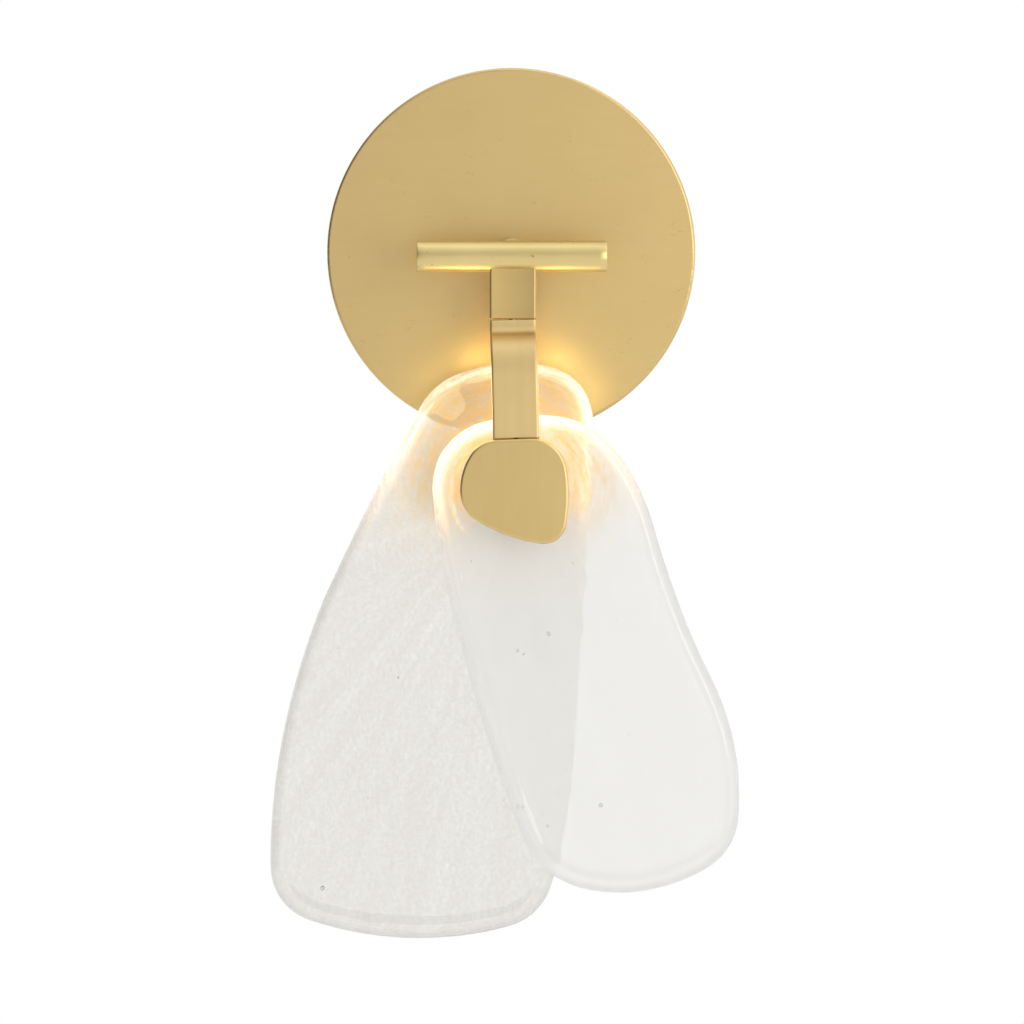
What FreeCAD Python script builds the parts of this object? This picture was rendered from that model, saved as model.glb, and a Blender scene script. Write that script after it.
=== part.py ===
"""Shell wall sconce: two cast glass petals hung from a brass strap and T-bar on a round canopy.

Frame: +Z up, +Y into the wall, origin on the wall at the centre of the canopy, millimetres.
Every piece is drawn in the view a person has from the room: x to the right, y up and z out
from the wall.  FACING turns that view into the frame.
"""

import FreeCAD, Part

import math
import os

import Sketcher

Vector = FreeCAD.Vector
FACING = FreeCAD.Rotation(Vector(1, 0, 0), 90)

# Driving dimensions, millimetres and degrees.
DIMENSIONS = {
    # Canopy: a spun pan that covers a four inch junction box.
    "canopy_radius": 76.2,
    "canopy_depth": 25.0,
    "canopy_wall": 1.5,
    "canopy_edge": 1.2,
    # Crossbar that the canopy hangs on, and its box screw slots.
    "crossbar_span": 147.8,
    "crossbar_width": 20.0,
    "crossbar_gauge": 1.6,
    "crossbar_tab": 14.0,
    "crossbar_hole": 6.5,
    "slot_spacing": 88.9,
    "slot_length": 12.0,
    "slot_width": 4.8,
    # Grub screws through the canopy rim into the crossbar tabs.
    "side_screw_radius": 2.0,
    "side_screw_length": 5.0,
    "side_screw_out": 8.0,
    "side_screw_recess": 0.1,
    # Earth screw.
    "ground_offset": 22.0,
    "ground_radius": 2.0,
    "ground_head_radius": 3.9,
    "ground_head_height": 2.2,
    # Driver, its studs and nuts, the terminal block and the leads.
    "driver_length": 66.0,
    "driver_width": 27.0,
    "driver_height": 15.0,
    "driver_up": 40.0,
    "driver_flange": 9.0,
    "driver_flange_gauge": 1.5,
    "driver_edge": 1.5,
    "driver_stud_radius": 1.5,
    "driver_stud_length": 6.0,
    "driver_nut_flats": 5.5,
    "driver_nut_height": 2.4,
    "terminal_length": 28.0,
    "terminal_width": 14.0,
    "terminal_height": 12.0,
    "terminal_left": 30.0,
    "terminal_top": 30.0,
    "terminal_hole": 1.4,
    "terminal_hole_depth": 8.0,
    "lead_radius": 0.9,
    "lead_start": 12.0,
    "lead_bend": 5.0,
    "lead_tight_bend": 3.0,
    "lead_hub_bend": 2.6,
    "lead_over_hub": 2.1,
    "lead_back": 0.5,
    "lead_cross_start": 55.15,
    "lead_cross_end": 61.65,
    "lead_tail": 2.0,
    # Hollow stud, washer and nut that hold the post to the canopy.
    "stud_radius": 5.0,
    "stud_bore": 3.5,
    "stud_inside": 9.5,
    "stud_in_post": 11.0,
    "washer_radius": 9.0,
    "washer_gauge": 1.2,
    "nut_flats": 14.0,
    "nut_height": 4.0,
    # Post and T-bar: half inch round.
    "rod_radius": 6.35,
    "rod_bore": 3.0,
    "bar_length": 77.7,
    "bar_out": 58.0,
    "bar_drop": 0.75,
    "bar_right": -0.25,
    "bar_edge": 0.6,
    "post_stop": 2.5,
    # Saddle block under the bar.
    "stem_right": 0.2,
    "block_width": 19.0,
    "block_depth": 8.0,
    "block_bottom": 26.35,
    "block_edge": 0.9,
    "dowel_radius": 1.8,
    "dowel_bore": 1.2,
    "dowel_length": 10.0,
    "dowel_in_strap": 2.0,
    "dowel_back": 0.25,
    # Strap: flat bar with a forward S-bend, and the tongue behind the cap.
    "strap_width": 19.0,
    "strap_gauge": 6.0,
    "strap_gap": 0.35,
    "strap_lean": 1.3,
    "strap_straight": 0.5,
    "upper_bend": 8.6,
    "lower_bend": 15.0,
    "bend_angle": 65.03,
    "strap_end": 47.35,
    "strap_edge": 1.1,
    "tongue_gauge": 3.5,
    "tongue_overlap": 1.0,
    "groove_width": 2.6,
    "groove_depth": 3.6,
    "groove_end": 60.15,
    "cover_end": 56.15,
    "cover_width": 5.2,
    "cover_gauge": 0.8,
    # Hub: threaded sleeve and the stack it clamps.
    "hub_drop": 68.75,
    "sleeve_radius": 5.0,
    "sleeve_bore": 3.4,
    "sleeve_tail": 2.6,
    "gasket_radius": 11.5,
    "gasket_gauge": 1.2,
    "slip_gap": 0.2,
    "bush_radius": 8.0,
    "bush_clearance": 0.05,
    "core_radius": 11.5,
    "core_length": 10.0,
    "core_washer_gauge": 1.0,
    "strip_gauge": 0.6,
    "chip_size": 3.0,
    "chip_height": 0.8,
    "chip_count": 16,
    "diffuser_radius": 16.5,
    "diffuser_wall": 2.0,
    "rear_disc_radius": 14.0,
    "rear_disc_gauge": 3.5,
    "rear_disc_edge": 0.9,
    "cap_nut_radius": 8.5,
    "cap_nut_height": 6.3,
    "cap_nut_dome": 3.5,
    # Cast glass petals.
    "glass_gauge": 10.0,
    "glass_round": 4.6,
    # Pebble cap and its screws.
    "cap_gauge": 4.6,
    "cap_edge": 0.9,
    "cap_pocket_depth": 3.3,
    "cap_pocket_radius": 4.5,
    "cap_pocket_rise": 12.1,
    "cap_screw_side": 6.6,
    "cap_screw_up": 12.2,
    "cap_screw_radius": 1.25,
    "cap_screw_head": 2.2,
    "cap_screw_head_height": 1.0,
    "cap_screw_length": 6.4,
}

# Each outline goes clockwise from a start (x, up) and a heading in degrees.  A run is a length
# and the angle that it turns through: round stretches are arcs and a zero turn is straight.
# The two runs named last are lengthened or shortened to close the outline.
OUTLINES = {
    "rear": ((3.0, -45.3), -2.6, (2, 6), (
        (8.3, 0.0), (36.5, 89.7), (151.8, 2.4), (42.2, 12.9), (24.1, 57.4), (84.2, 33.1),
        (29.9, 71.8), (121.9, 24.6), (82.2, 4.8), (19.4, 39.4), (26.4, 23.9))),
    "front": ((15.9, -65.5), -3.9, (4, 8), (
        (28.4, 45.9), (38.1, 25.2), (66.9, -11.7), (58.8, 31.8), (25.9, 54.0), (51.1, 42.2),
        (36.7, 58.1), (92.3, 6.8), (52.2, 7.6), (40.1, 81.8), (28.1, 18.3))),
    "cap": ((-7.95, -48.0), 0.9, (4, 5), (
        (13.6, 0.0), (21.3, 83.5), (23.1, 18.7), (14.3, 88.5), (28.2, 23.5), (13.9, 56.6),
        (16.0, 34.2), (12.8, 55.0))),
}

SHEET_NAME = "Dims"


# ---------------------------------------------------------------- document and sheet

def fill_sheet(document):
    """Writes every driving dimension to a cell with an alias."""
    sheet = document.addObject("Spreadsheet::Sheet", SHEET_NAME)
    values = dict(DIMENSIONS)
    for name, (_, _, _, runs) in OUTLINES.items():
        for number, (length, turn) in enumerate(runs, 1):
            values[f"{name}_run_{number}"] = length
            values[f"{name}_turn_{number}"] = turn
    for row, (alias, value) in enumerate(values.items(), 1):
        sheet.set(f"A{row}", alias)
        sheet.set(f"B{row}", str(value))
        sheet.setAlias(f"B{row}", alias)
    document.recompute()
    return sheet


doc = FreeCAD.newDocument("shell_wall_sconce")
dims = fill_sheet(doc)


def size(alias):
    """A driving dimension as a number."""
    return float(dims.get(alias))


def bound(text):
    """A formula over the sheet's aliases, written out for setExpression."""
    words = []
    for word in text.split():
        words.append(f"{SHEET_NAME}.{word}" if word[0].isalpha() else word)
    return " ".join(words)


def facing(x, up, out, turn=0.0):
    """Placement of a piece drawn in the room view, with its origin at (x, up, out)."""
    lean = FreeCAD.Rotation(Vector(0, 1, 0), -turn)
    return FreeCAD.Placement(Vector(x, -out, up), lean.multiply(FACING))


# ---------------------------------------------------------------- derived positions

def both_bends():
    """Sum of the S-bend's two radii, on the strap's centre line."""
    return size("upper_bend") + size("lower_bend")


def strap_shift():
    """How far the S-bend carries the strap out."""
    return both_bends() * (1 - math.cos(math.radians(size("bend_angle"))))


def strap_top():
    """x, up and out of the middle of the strap's top face."""
    return size("stem_right"), -size("block_bottom") - size("strap_gap"), size("bar_out")


def hub_centre():
    """x and up of the hub's axis, which lies on the strap's leaning centre line."""
    x, up, _ = strap_top()
    lean = math.radians(size("strap_lean"))
    drop = size("hub_drop")
    return x + drop * math.sin(lean), up - drop * math.cos(lean)


def stack():
    """Out-from-wall position of the wall side of each piece on the hub."""
    out = {}
    out["strap_back"] = size("bar_out") + strap_shift() - size("strap_gauge") / 2
    out["front_gasket"] = out["strap_back"] - size("gasket_gauge")
    out["front_glass"] = out["front_gasket"] - size("slip_gap") - size("glass_gauge")
    out["front_washer"] = out["front_glass"] - size("slip_gap") - size("core_washer_gauge")
    out["core"] = out["front_washer"] - size("core_length")
    out["rear_washer"] = out["core"] - size("core_washer_gauge")
    out["rear_glass"] = out["rear_washer"] - size("slip_gap") - size("glass_gauge")
    out["rear_gasket"] = out["rear_glass"] - size("slip_gap") - size("gasket_gauge")
    out["rear_disc"] = out["rear_gasket"] - size("rear_disc_gauge")
    out["cap_nut"] = out["rear_disc"] - size("cap_nut_height")
    out["sleeve"] = out["cap_nut"] + size("sleeve_tail")
    out["cap"] = out["strap_back"] + size("tongue_gauge")
    return out


# ---------------------------------------------------------------- modelling helpers

def new_body(label):
    """An empty body whose label names the node."""
    body = doc.addObject("PartDesign::Body", label)
    body.Label = label
    return body


def new_sketch(body, role, name, offset=0.0):
    """A sketch on one of the body's own origin planes, moved along the plane's normal."""
    plane = next(f for f in body.Origin.OriginFeatures if f.Role == role)
    sketch = body.newObject("Sketcher::SketchObject", f"{body.Name}_{name}")
    sketch.AttachmentSupport = [(plane, "")]
    sketch.MapMode = "FlatFace"
    sketch.AttachmentOffset = FreeCAD.Placement(Vector(0, 0, offset), FreeCAD.Rotation())
    return sketch


def add_circle(sketch, formula, x=0.0, y=0.0):
    """A circle whose radius follows the sheet."""
    circle = Part.Circle(Vector(x, y, 0), Vector(0, 0, 1), 1.0)
    index = sketch.addGeometry(circle)
    sketch.addConstraint(Sketcher.Constraint("DistanceX", -1, 1, index, 3, x))
    sketch.addConstraint(Sketcher.Constraint("DistanceY", -1, 1, index, 3, y))
    radius = sketch.addConstraint(Sketcher.Constraint("Radius", index, 1.0))
    sketch.setExpression(f"Constraints[{radius}]", bound(formula))


def add_polygon(sketch, points):
    """A closed run of straight lines through the points."""
    corners = [Vector(x, y, 0) for x, y in points]
    for first, second in zip(corners, corners[1:] + corners[:1]):
        sketch.addGeometry(Part.LineSegment(first, second))


def add_rectangle(sketch, left, low, right, high):
    """A rectangle given by two corners."""
    add_polygon(sketch, ((left, low), (right, low), (right, high), (left, high)))


def add_slot(sketch, x, y, length, width, along_x=True):
    """A slot with round ends, centred on (x, y)."""
    half = (length - width) / 2
    radius = width / 2
    spin = FreeCAD.Rotation(Vector(0, 0, 1), 0 if along_x else 90)

    def at(u, v):
        return Vector(x, y, 0) + spin.multVec(Vector(u, v, 0))

    sketch.addGeometry(Part.LineSegment(at(-half, radius), at(half, radius)))
    sketch.addGeometry(Part.Arc(at(half, radius), at(half + radius, 0), at(half, -radius)))
    sketch.addGeometry(Part.LineSegment(at(half, -radius), at(-half, -radius)))
    sketch.addGeometry(Part.Arc(at(-half, -radius), at(-half - radius, 0), at(-half, radius)))


def add_feature(body, kind, name, sketch, length=None, symmetric=False, through=False,
                reverse=False):
    """A pad or pocket on a sketch, with its length bound to the sheet."""
    feature = body.newObject(f"PartDesign::{kind}", f"{body.Name}_{name}")
    feature.Profile = sketch
    if through:
        feature.Type = "ThroughAll"
    if length is not None:
        feature.setExpression("Length", bound(length))
    feature.SideType = "Symmetric" if symmetric else "One side"
    feature.Reversed = reverse
    body.Tip = feature
    doc.recompute()
    return feature


def edge_names(shape, wanted):
    """Names of the shape's edges that the test picks."""
    return [f"Edge{number}" for number, edge in enumerate(shape.Edges, 1) if wanted(edge)]


def add_edge_feature(body, kind, name, wanted, formula):
    """A fillet or chamfer on the edges of the body's tip that the test picks."""
    base = body.Tip
    names = edge_names(base.Shape, wanted)
    if not names:
        raise RuntimeError(f"{body.Label}: no edge found for {name}")
    feature = body.newObject(f"PartDesign::{kind}", f"{body.Name}_{name}")
    feature.Base = (base, names)
    feature.setExpression("Radius" if kind == "Fillet" else "Size", bound(formula))
    body.Tip = feature
    doc.recompute()
    return feature


def level(edge, out):
    """Whether an edge lies in the plane z = out."""
    box = edge.BoundBox
    return abs(box.ZMin - out) < 1e-4 and abs(box.ZMax - out) < 1e-4


def cylinder(name, radius, height, placement=FreeCAD.Placement()):
    """A cylinder bound to the sheet; the height is a formula or a worked out number."""
    solid = doc.addObject("Part::Cylinder", name)
    solid.setExpression("Radius", bound(radius))
    if isinstance(height, str):
        solid.setExpression("Height", bound(height))
    else:
        solid.Height = height
    solid.Placement = placement
    return solid


def ring(label, outer, inner, height, placement):
    """A ring or tube: one cylinder bored by another."""
    cut = doc.addObject("Part::Cut", label)
    cut.Base = cylinder(f"{label}_outer", outer, height)
    cut.Tool = cylinder(f"{label}_bore", inner, height)
    cut.Label = label
    cut.Placement = placement
    return cut


def hexagon_nut(name, flats, bore, height):
    """A hexagon nut standing on its own origin."""
    prism = doc.addObject("Part::Prism", f"{name}_prism")
    prism.Polygon = 6
    prism.setExpression("Circumradius", bound(f"{flats} / {math.sqrt(3):.6f}"))
    prism.setExpression("Height", bound(height))
    cut = doc.addObject("Part::Cut", name)
    cut.Base = prism
    cut.Tool = cylinder(f"{name}_thread", bore, height)
    return cut


def group(label, solids, placement=FreeCAD.Placement()):
    """Several separate solids that share one node."""
    compound = doc.addObject("Part::Compound", label)
    compound.Links = solids
    compound.Label = label
    compound.Placement = placement
    return compound


def fused(label, base, tool, placement=FreeCAD.Placement()):
    """Two solids joined into one piece."""
    union = doc.addObject("Part::Fuse", label)
    union.Base = base
    union.Tool = tool
    union.Label = label
    union.Placement = placement
    return union


# ---------------------------------------------------------------- outlines made of arcs

def run_step(heading, length, turn):
    """Displacement along a run that starts on a heading and turns clockwise."""
    if abs(turn) < 1e-6:
        return Vector(math.cos(heading), math.sin(heading), 0) * length
    radius = length / turn
    across = math.sin(heading) - math.sin(heading - turn)
    rise = math.cos(heading - turn) - math.cos(heading)
    return Vector(across, rise, 0) * radius


def closed_runs(name):
    """The outline's runs in millimetres and radians, with two lengths set to close it."""
    _, heading_deg, adjusted, runs = OUTLINES[name]
    lengths = [size(f"{name}_run_{number}") for number in range(1, len(runs) + 1)]
    turns = [math.radians(size(f"{name}_turn_{number}")) for number in range(1, len(runs) + 1)]
    turns[-1] = 2 * math.pi - sum(turns[:-1])
    heading = math.radians(heading_deg)
    missing = Vector()
    unit = {}
    for number, (length, turn) in enumerate(zip(lengths, turns)):
        if number in adjusted:
            unit[number] = run_step(heading, 1.0, turn)
        else:
            missing -= run_step(heading, length, turn)
        heading -= turn
    first, second = (unit[number] for number in adjusted)
    spread = first.x * second.y - first.y * second.x
    lengths[adjusted[0]] = (missing.x * second.y - missing.y * second.x) / spread
    lengths[adjusted[1]] = (first.x * missing.y - first.y * missing.x) / spread
    return list(zip(lengths, turns))


def add_outline(sketch, name, origin):
    """The named closed outline, drawn about a given origin."""
    start, heading_deg, _, _ = OUTLINES[name]
    heading = math.radians(heading_deg)
    point = Vector(start[0] - origin[0], start[1] - origin[1], 0)
    first = point
    runs = closed_runs(name)
    for number, (length, turn) in enumerate(runs, 1):
        end = first if number == len(runs) else point + run_step(heading, length, turn)
        if abs(turn) < 1e-6:
            sketch.addGeometry(Part.LineSegment(point, end))
        else:
            middle = point + run_step(heading, length / 2, turn / 2)
            sketch.addGeometry(Part.Arc(point, middle, end))
        point = end
        heading -= turn


# ---------------------------------------------------------------- canopy and wiring

def canopy():
    """Spun pan with a rolled front edge, a centre hole, rim holes and two driver studs."""
    radius, depth, wall = size("canopy_radius"), size("canopy_depth"), size("canopy_wall")
    body = new_body("canopy")
    profile = new_sketch(body, "XZ_Plane", "profile")
    hole = size("stud_radius")
    add_polygon(profile, ((hole, depth - wall), (radius - wall, depth - wall),
                          (radius - wall, 0), (radius, 0), (radius, depth), (hole, depth)))
    spin = body.newObject("PartDesign::Revolution", "canopy_spin")
    spin.Profile = profile
    spin.ReferenceAxis = (profile, ["V_Axis"])
    spin.Angle = 360.0
    body.Tip = spin
    doc.recompute()
    rim = new_sketch(body, "YZ_Plane", "rim_holes")
    add_circle(rim, "side_screw_radius", 0, size("side_screw_out"))
    add_feature(body, "Pocket", "rim_holes_cut", rim, symmetric=True, through=True)
    studs = new_sketch(body, "XY_Plane", "studs", depth - wall)
    for side in (-1, 1):
        add_circle(studs, "driver_stud_radius", side * driver_stud_x(), size("driver_up"))
    add_feature(body, "Pad", "studs_pad", studs, "driver_stud_length", reverse=True)

    def front_edge(edge):
        return level(edge, depth) and edge.BoundBox.XLength > radius

    add_edge_feature(body, "Fillet", "rolled_edge", front_edge, "canopy_edge")
    body.Placement = facing(0, 0, 0)
    return body


def driver_stud_x():
    """Distance of each driver stud from the middle."""
    return (size("driver_length") + size("driver_flange")) / 2


def crossbar():
    """U-shaped steel bar with slots for the box screws and tapped tabs for the canopy."""
    half, gauge, tab = size("crossbar_span") / 2, size("crossbar_gauge"), size("crossbar_tab")
    body = new_body("crossbar")
    profile = new_sketch(body, "XZ_Plane", "profile")
    add_polygon(profile, ((-half, 0), (half, 0), (half, tab), (half - gauge, tab),
                          (half - gauge, gauge), (gauge - half, gauge), (gauge - half, tab),
                          (-half, tab)))
    add_feature(body, "Pad", "bar", profile, "crossbar_width", symmetric=True)
    slots = new_sketch(body, "XY_Plane", "slots")
    for side in (-1, 1):
        add_slot(slots, side * size("slot_spacing") / 2, 0, size("slot_length"),
                 size("slot_width"))
    add_circle(slots, "crossbar_hole")
    add_circle(slots, "ground_radius", size("ground_offset"), 0)
    add_feature(body, "Pocket", "slots_cut", slots, symmetric=True, through=True)
    taps = new_sketch(body, "YZ_Plane", "taps")
    add_circle(taps, "side_screw_radius", 0, size("side_screw_out"))
    add_feature(body, "Pocket", "taps_cut", taps, symmetric=True, through=True)
    body.Placement = facing(0, 0, 0)
    return body


def canopy_side_screws():
    """Two grub screws, flush with the canopy rim."""
    solids = []
    reach = size("canopy_radius") - size("side_screw_recess") - size("side_screw_length")
    for side, name in ((1, "right"), (-1, "left")):
        turn = FreeCAD.Rotation(Vector(0, 1, 0), 90 * side)
        at = Vector(side * reach, -size("side_screw_out"), 0)
        solids.append(cylinder(f"side_screw_{name}", "side_screw_radius", "side_screw_length",
                               FreeCAD.Placement(at, turn)))
    return group("canopy_side_screws", solids)


def ground_screw():
    """Earth screw in the crossbar."""
    shank = cylinder("ground_shank", "ground_radius", "crossbar_gauge")
    seat = FreeCAD.Placement(Vector(0, 0, size("crossbar_gauge")), FreeCAD.Rotation())
    head = cylinder("ground_head", "ground_head_radius", "ground_head_height", seat)
    return fused("ground_screw", shank, head, facing(size("ground_offset"), 0, 0))


def led_driver():
    """Driver case with two flanges that sit over the canopy studs."""
    inside = size("canopy_depth") - size("canopy_wall")
    body = new_body("led_driver")
    case = new_sketch(body, "XY_Plane", "case")
    half_length, half_width = size("driver_length") / 2, size("driver_width") / 2
    add_rectangle(case, -half_length, -half_width, half_length, half_width)
    add_feature(body, "Pad", "case_pad", case, "driver_height", reverse=True)

    def case_edge(edge):
        return edge.BoundBox.ZMin < -1e-4

    add_edge_feature(body, "Fillet", "case_edges", case_edge, "driver_edge")
    flange = new_sketch(body, "XY_Plane", "flange")
    reach = half_length + size("driver_flange")
    add_rectangle(flange, -reach, -half_width / 2, reach, half_width / 2)
    add_feature(body, "Pad", "flange_pad", flange, "driver_flange_gauge", reverse=True)
    holes = new_sketch(body, "XY_Plane", "flange_holes")
    for side in (-1, 1):
        add_circle(holes, "driver_stud_radius", side * driver_stud_x(), 0)
    add_feature(body, "Pocket", "flange_holes_cut", holes, symmetric=True, through=True)
    body.Placement = facing(0, size("driver_up"), inside)
    return body


def driver_nuts():
    """Two nuts on the driver studs."""
    inside = size("canopy_depth") - size("canopy_wall") - size("driver_flange_gauge")
    nuts = []
    for side, name in ((-1, "left"), (1, "right")):
        nut = hexagon_nut(f"driver_nut_{name}", "driver_nut_flats", "driver_stud_radius",
                          "driver_nut_height")
        nut.Placement = facing(side * driver_stud_x(), size("driver_up"),
                               inside - size("driver_nut_height"))
        nuts.append(nut)
    return group("driver_nuts", nuts)


def lead_columns():
    """x of the two mains leads."""
    left = -size("terminal_left")
    third = size("terminal_length") / 3
    return left + third / 2, left + third * 1.5


def terminal_block():
    """Three-pole terminal block with a row of wire holes along its lower side."""
    inside = size("canopy_depth") - size("canopy_wall")
    left, high = -size("terminal_left"), -size("terminal_top")
    body = new_body("terminal_block")
    case = new_sketch(body, "XY_Plane", "case")
    add_rectangle(case, left, high - size("terminal_width"), left + size("terminal_length"),
                  high)
    add_feature(body, "Pad", "case_pad", case, "terminal_height", reverse=True)
    poles = new_sketch(body, "XZ_Plane", "poles",
                       size("terminal_top") + size("terminal_width"))
    for number in range(3):
        x = left + size("terminal_length") * (number + 0.5) / 3
        add_circle(poles, "terminal_hole", x, -size("terminal_height") / 2)
    add_feature(body, "Pocket", "poles_cut", poles, "terminal_hole_depth")
    body.Placement = facing(0, 0, inside)
    return body


def lead_out():
    """Out-from-wall position of the mains leads, between driver and terminal block."""
    return size("canopy_depth") - size("canopy_wall") - size("terminal_height") / 2


def mains_leads():
    """Two leads from the terminal block up to the driver."""
    low = -size("terminal_top")
    high = size("driver_up") - size("driver_width") / 2
    leads = []
    for number, x in enumerate(lead_columns(), 1):
        at = FreeCAD.Placement(Vector(x, -lead_out(), low), FreeCAD.Rotation())
        leads.append(cylinder(f"mains_lead_{number}", "lead_radius", high - low, at))
    return group("mains_leads", leads)


# ---------------------------------------------------------------- post, bar and block

def hollow_stud():
    """Threaded tube through the canopy, open for the lamp lead."""
    low = size("canopy_depth") - size("stud_inside")
    return ring("hollow_stud", "stud_radius", "stud_bore", "stud_inside + stud_in_post",
                facing(0, 0, low))


def stud_washer():
    """Washer behind the canopy face."""
    low = size("canopy_depth") - size("canopy_wall") - size("washer_gauge")
    return ring("stud_washer", "washer_radius", "stud_radius", "washer_gauge",
                facing(0, 0, low))


def stud_nut():
    """Hexagon nut that pulls the post against the canopy."""
    low = (size("canopy_depth") - size("canopy_wall") - size("washer_gauge")
           - size("nut_height"))
    nut = hexagon_nut("stud_nut", "nut_flats", "stud_radius", "nut_height")
    nut.Label = "stud_nut"
    nut.Placement = facing(0, 0, low)
    return nut


def post():
    """Tube from the canopy to the bar, tapped for the stud and coped to bar and block."""
    length = size("bar_out") - size("canopy_depth")
    body = new_body("post")
    section = new_sketch(body, "XY_Plane", "section")
    add_circle(section, "rod_radius")
    add_circle(section, "rod_bore")
    add_feature(body, "Pad", "tube", section, "bar_out - canopy_depth - post_stop")
    tap = new_sketch(body, "XY_Plane", "tap")
    add_circle(tap, "stud_radius")
    add_feature(body, "Pocket", "tap_cut", tap, "stud_in_post", reverse=True)
    cope = new_sketch(body, "YZ_Plane", "cope")
    add_circle(cope, "rod_radius", -size("bar_drop"), length)
    add_feature(body, "Pocket", "cope_cut", cope, symmetric=True, through=True)
    notch = new_sketch(body, "YZ_Plane", "notch")
    half_depth = size("block_depth") / 2
    rim = size("bar_drop") + math.sqrt(size("rod_radius") ** 2 - half_depth ** 2)
    add_rectangle(notch, -length, length - half_depth, -rim, length)
    add_feature(body, "Pocket", "notch_cut", notch, symmetric=True, through=True)
    body.Placement = facing(0, 0, size("canopy_depth"))
    return body


def cross_bar():
    """Round T-bar, cross drilled for the lead from the post down to the block."""
    body = new_body("cross_bar")
    section = new_sketch(body, "YZ_Plane", "section")
    add_circle(section, "rod_radius")
    add_feature(body, "Pad", "rod", section, "bar_length", symmetric=True)

    def end_edge(edge):
        return edge.BoundBox.XLength < 1e-4

    add_edge_feature(body, "Chamfer", "ends", end_edge, "bar_edge")
    back = new_sketch(body, "XY_Plane", "back_bore")
    add_circle(back, "rod_bore", -size("bar_right"), size("bar_drop"))
    add_feature(body, "Pocket", "back_bore_cut", back, "rod_radius")
    low = new_sketch(body, "XZ_Plane", "low_bore")
    add_circle(low, "rod_bore", size("stem_right") - size("bar_right"), 0)
    add_feature(body, "Pocket", "low_bore_cut", low, "rod_radius", reverse=True)
    body.Placement = facing(size("bar_right"), -size("bar_drop"), size("bar_out"))
    return body


def stem_block():
    """Square block whose top is coped to the bar, bored on the strap's lean for the dowel."""
    low, high = -size("block_bottom"), -size("bar_drop")
    half_width = size("block_width") / 2
    body = new_body("stem_block")
    section = new_sketch(body, "XY_Plane", "section")
    add_rectangle(section, -half_width, low, half_width, high)
    add_feature(body, "Pad", "block", section, "block_depth", symmetric=True)

    def long_edge(edge):
        box = edge.BoundBox
        return box.YLength > 1 or (abs(box.YMax - low) < 1e-4 and box.XLength > 1)

    add_edge_feature(body, "Fillet", "soft_edges", long_edge, "block_edge")
    cope = new_sketch(body, "YZ_Plane", "cope")
    add_circle(cope, "rod_radius", -size("bar_drop"), 0)
    add_feature(body, "Pocket", "cope_cut", cope, symmetric=True, through=True)
    bore = new_sketch(body, "XZ_Plane", "bore")
    lean = FreeCAD.Rotation(Vector(0, 1, 0), size("strap_lean"))
    bore.AttachmentOffset = FreeCAD.Placement(Vector(0, 0, -strap_top()[1]), lean)
    add_circle(bore, "dowel_radius", 0, -size("dowel_back"))
    add_feature(body, "Pocket", "bore_cut", bore, symmetric=True, through=True)
    body.Placement = facing(size("stem_right"), 0, size("bar_out"))
    return body


def stem_dowel():
    """Hollow dowel that joins the block to the strap and lets the lead through."""
    along_strap = FreeCAD.Placement(Vector(), FreeCAD.Rotation(Vector(1, 0, 0), -90))
    at = hanging(0, -size("dowel_in_strap"), -size("dowel_back")).multiply(along_strap)
    return ring("stem_dowel", "dowel_radius", "dowel_bore", "dowel_length", at)


# ---------------------------------------------------------------- strap and lead

def strap_band(sketch, back, front, end):
    """Closed side profile of a band that follows the S-bend between two depths.

    The sketch's axes are up and out; back and front are measured out from the strap's
    centre line, and end is how far down the band goes.
    """
    straight, angle = size("strap_straight"), math.radians(size("bend_angle"))
    shift = strap_shift()
    upper = Vector(-straight, size("upper_bend"), 0)
    lower = Vector(-straight - both_bends() * math.sin(angle), shift - size("lower_bend"), 0)

    def on_upper(offset, turn):
        reach = size("upper_bend") - offset
        return upper + Vector(-reach * math.sin(turn), -reach * math.cos(turn), 0)

    def on_lower(offset, turn):
        reach = size("lower_bend") + offset
        return lower + Vector(reach * math.sin(turn), reach * math.cos(turn), 0)

    def side(offset):
        return (Vector(0, offset, 0), on_upper(offset, 0), on_upper(offset, angle / 2),
                on_upper(offset, angle), on_lower(offset, angle / 2), on_lower(offset, 0),
                Vector(-end, shift + offset, 0))

    for points in (side(back), side(front)):
        sketch.addGeometry(Part.LineSegment(points[0], points[1]))
        sketch.addGeometry(Part.Arc(points[1], points[2], points[3]))
        sketch.addGeometry(Part.Arc(points[3], points[4], points[5]))
        sketch.addGeometry(Part.LineSegment(points[5], points[6]))
    sketch.addGeometry(Part.LineSegment(Vector(0, back, 0), Vector(0, front, 0)))
    low_back, low_front = Vector(-end, shift + back, 0), Vector(-end, shift + front, 0)
    sketch.addGeometry(Part.LineSegment(low_back, low_front))


def hanging(x=0.0, up=0.0, out=0.0):
    """Placement of a piece on the leaning strap, from the middle of the strap's top."""
    left, high, far = strap_top()
    return facing(left, high, far, size("strap_lean")).multiply(
        FreeCAD.Placement(Vector(x, up, out), FreeCAD.Rotation()))


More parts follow.
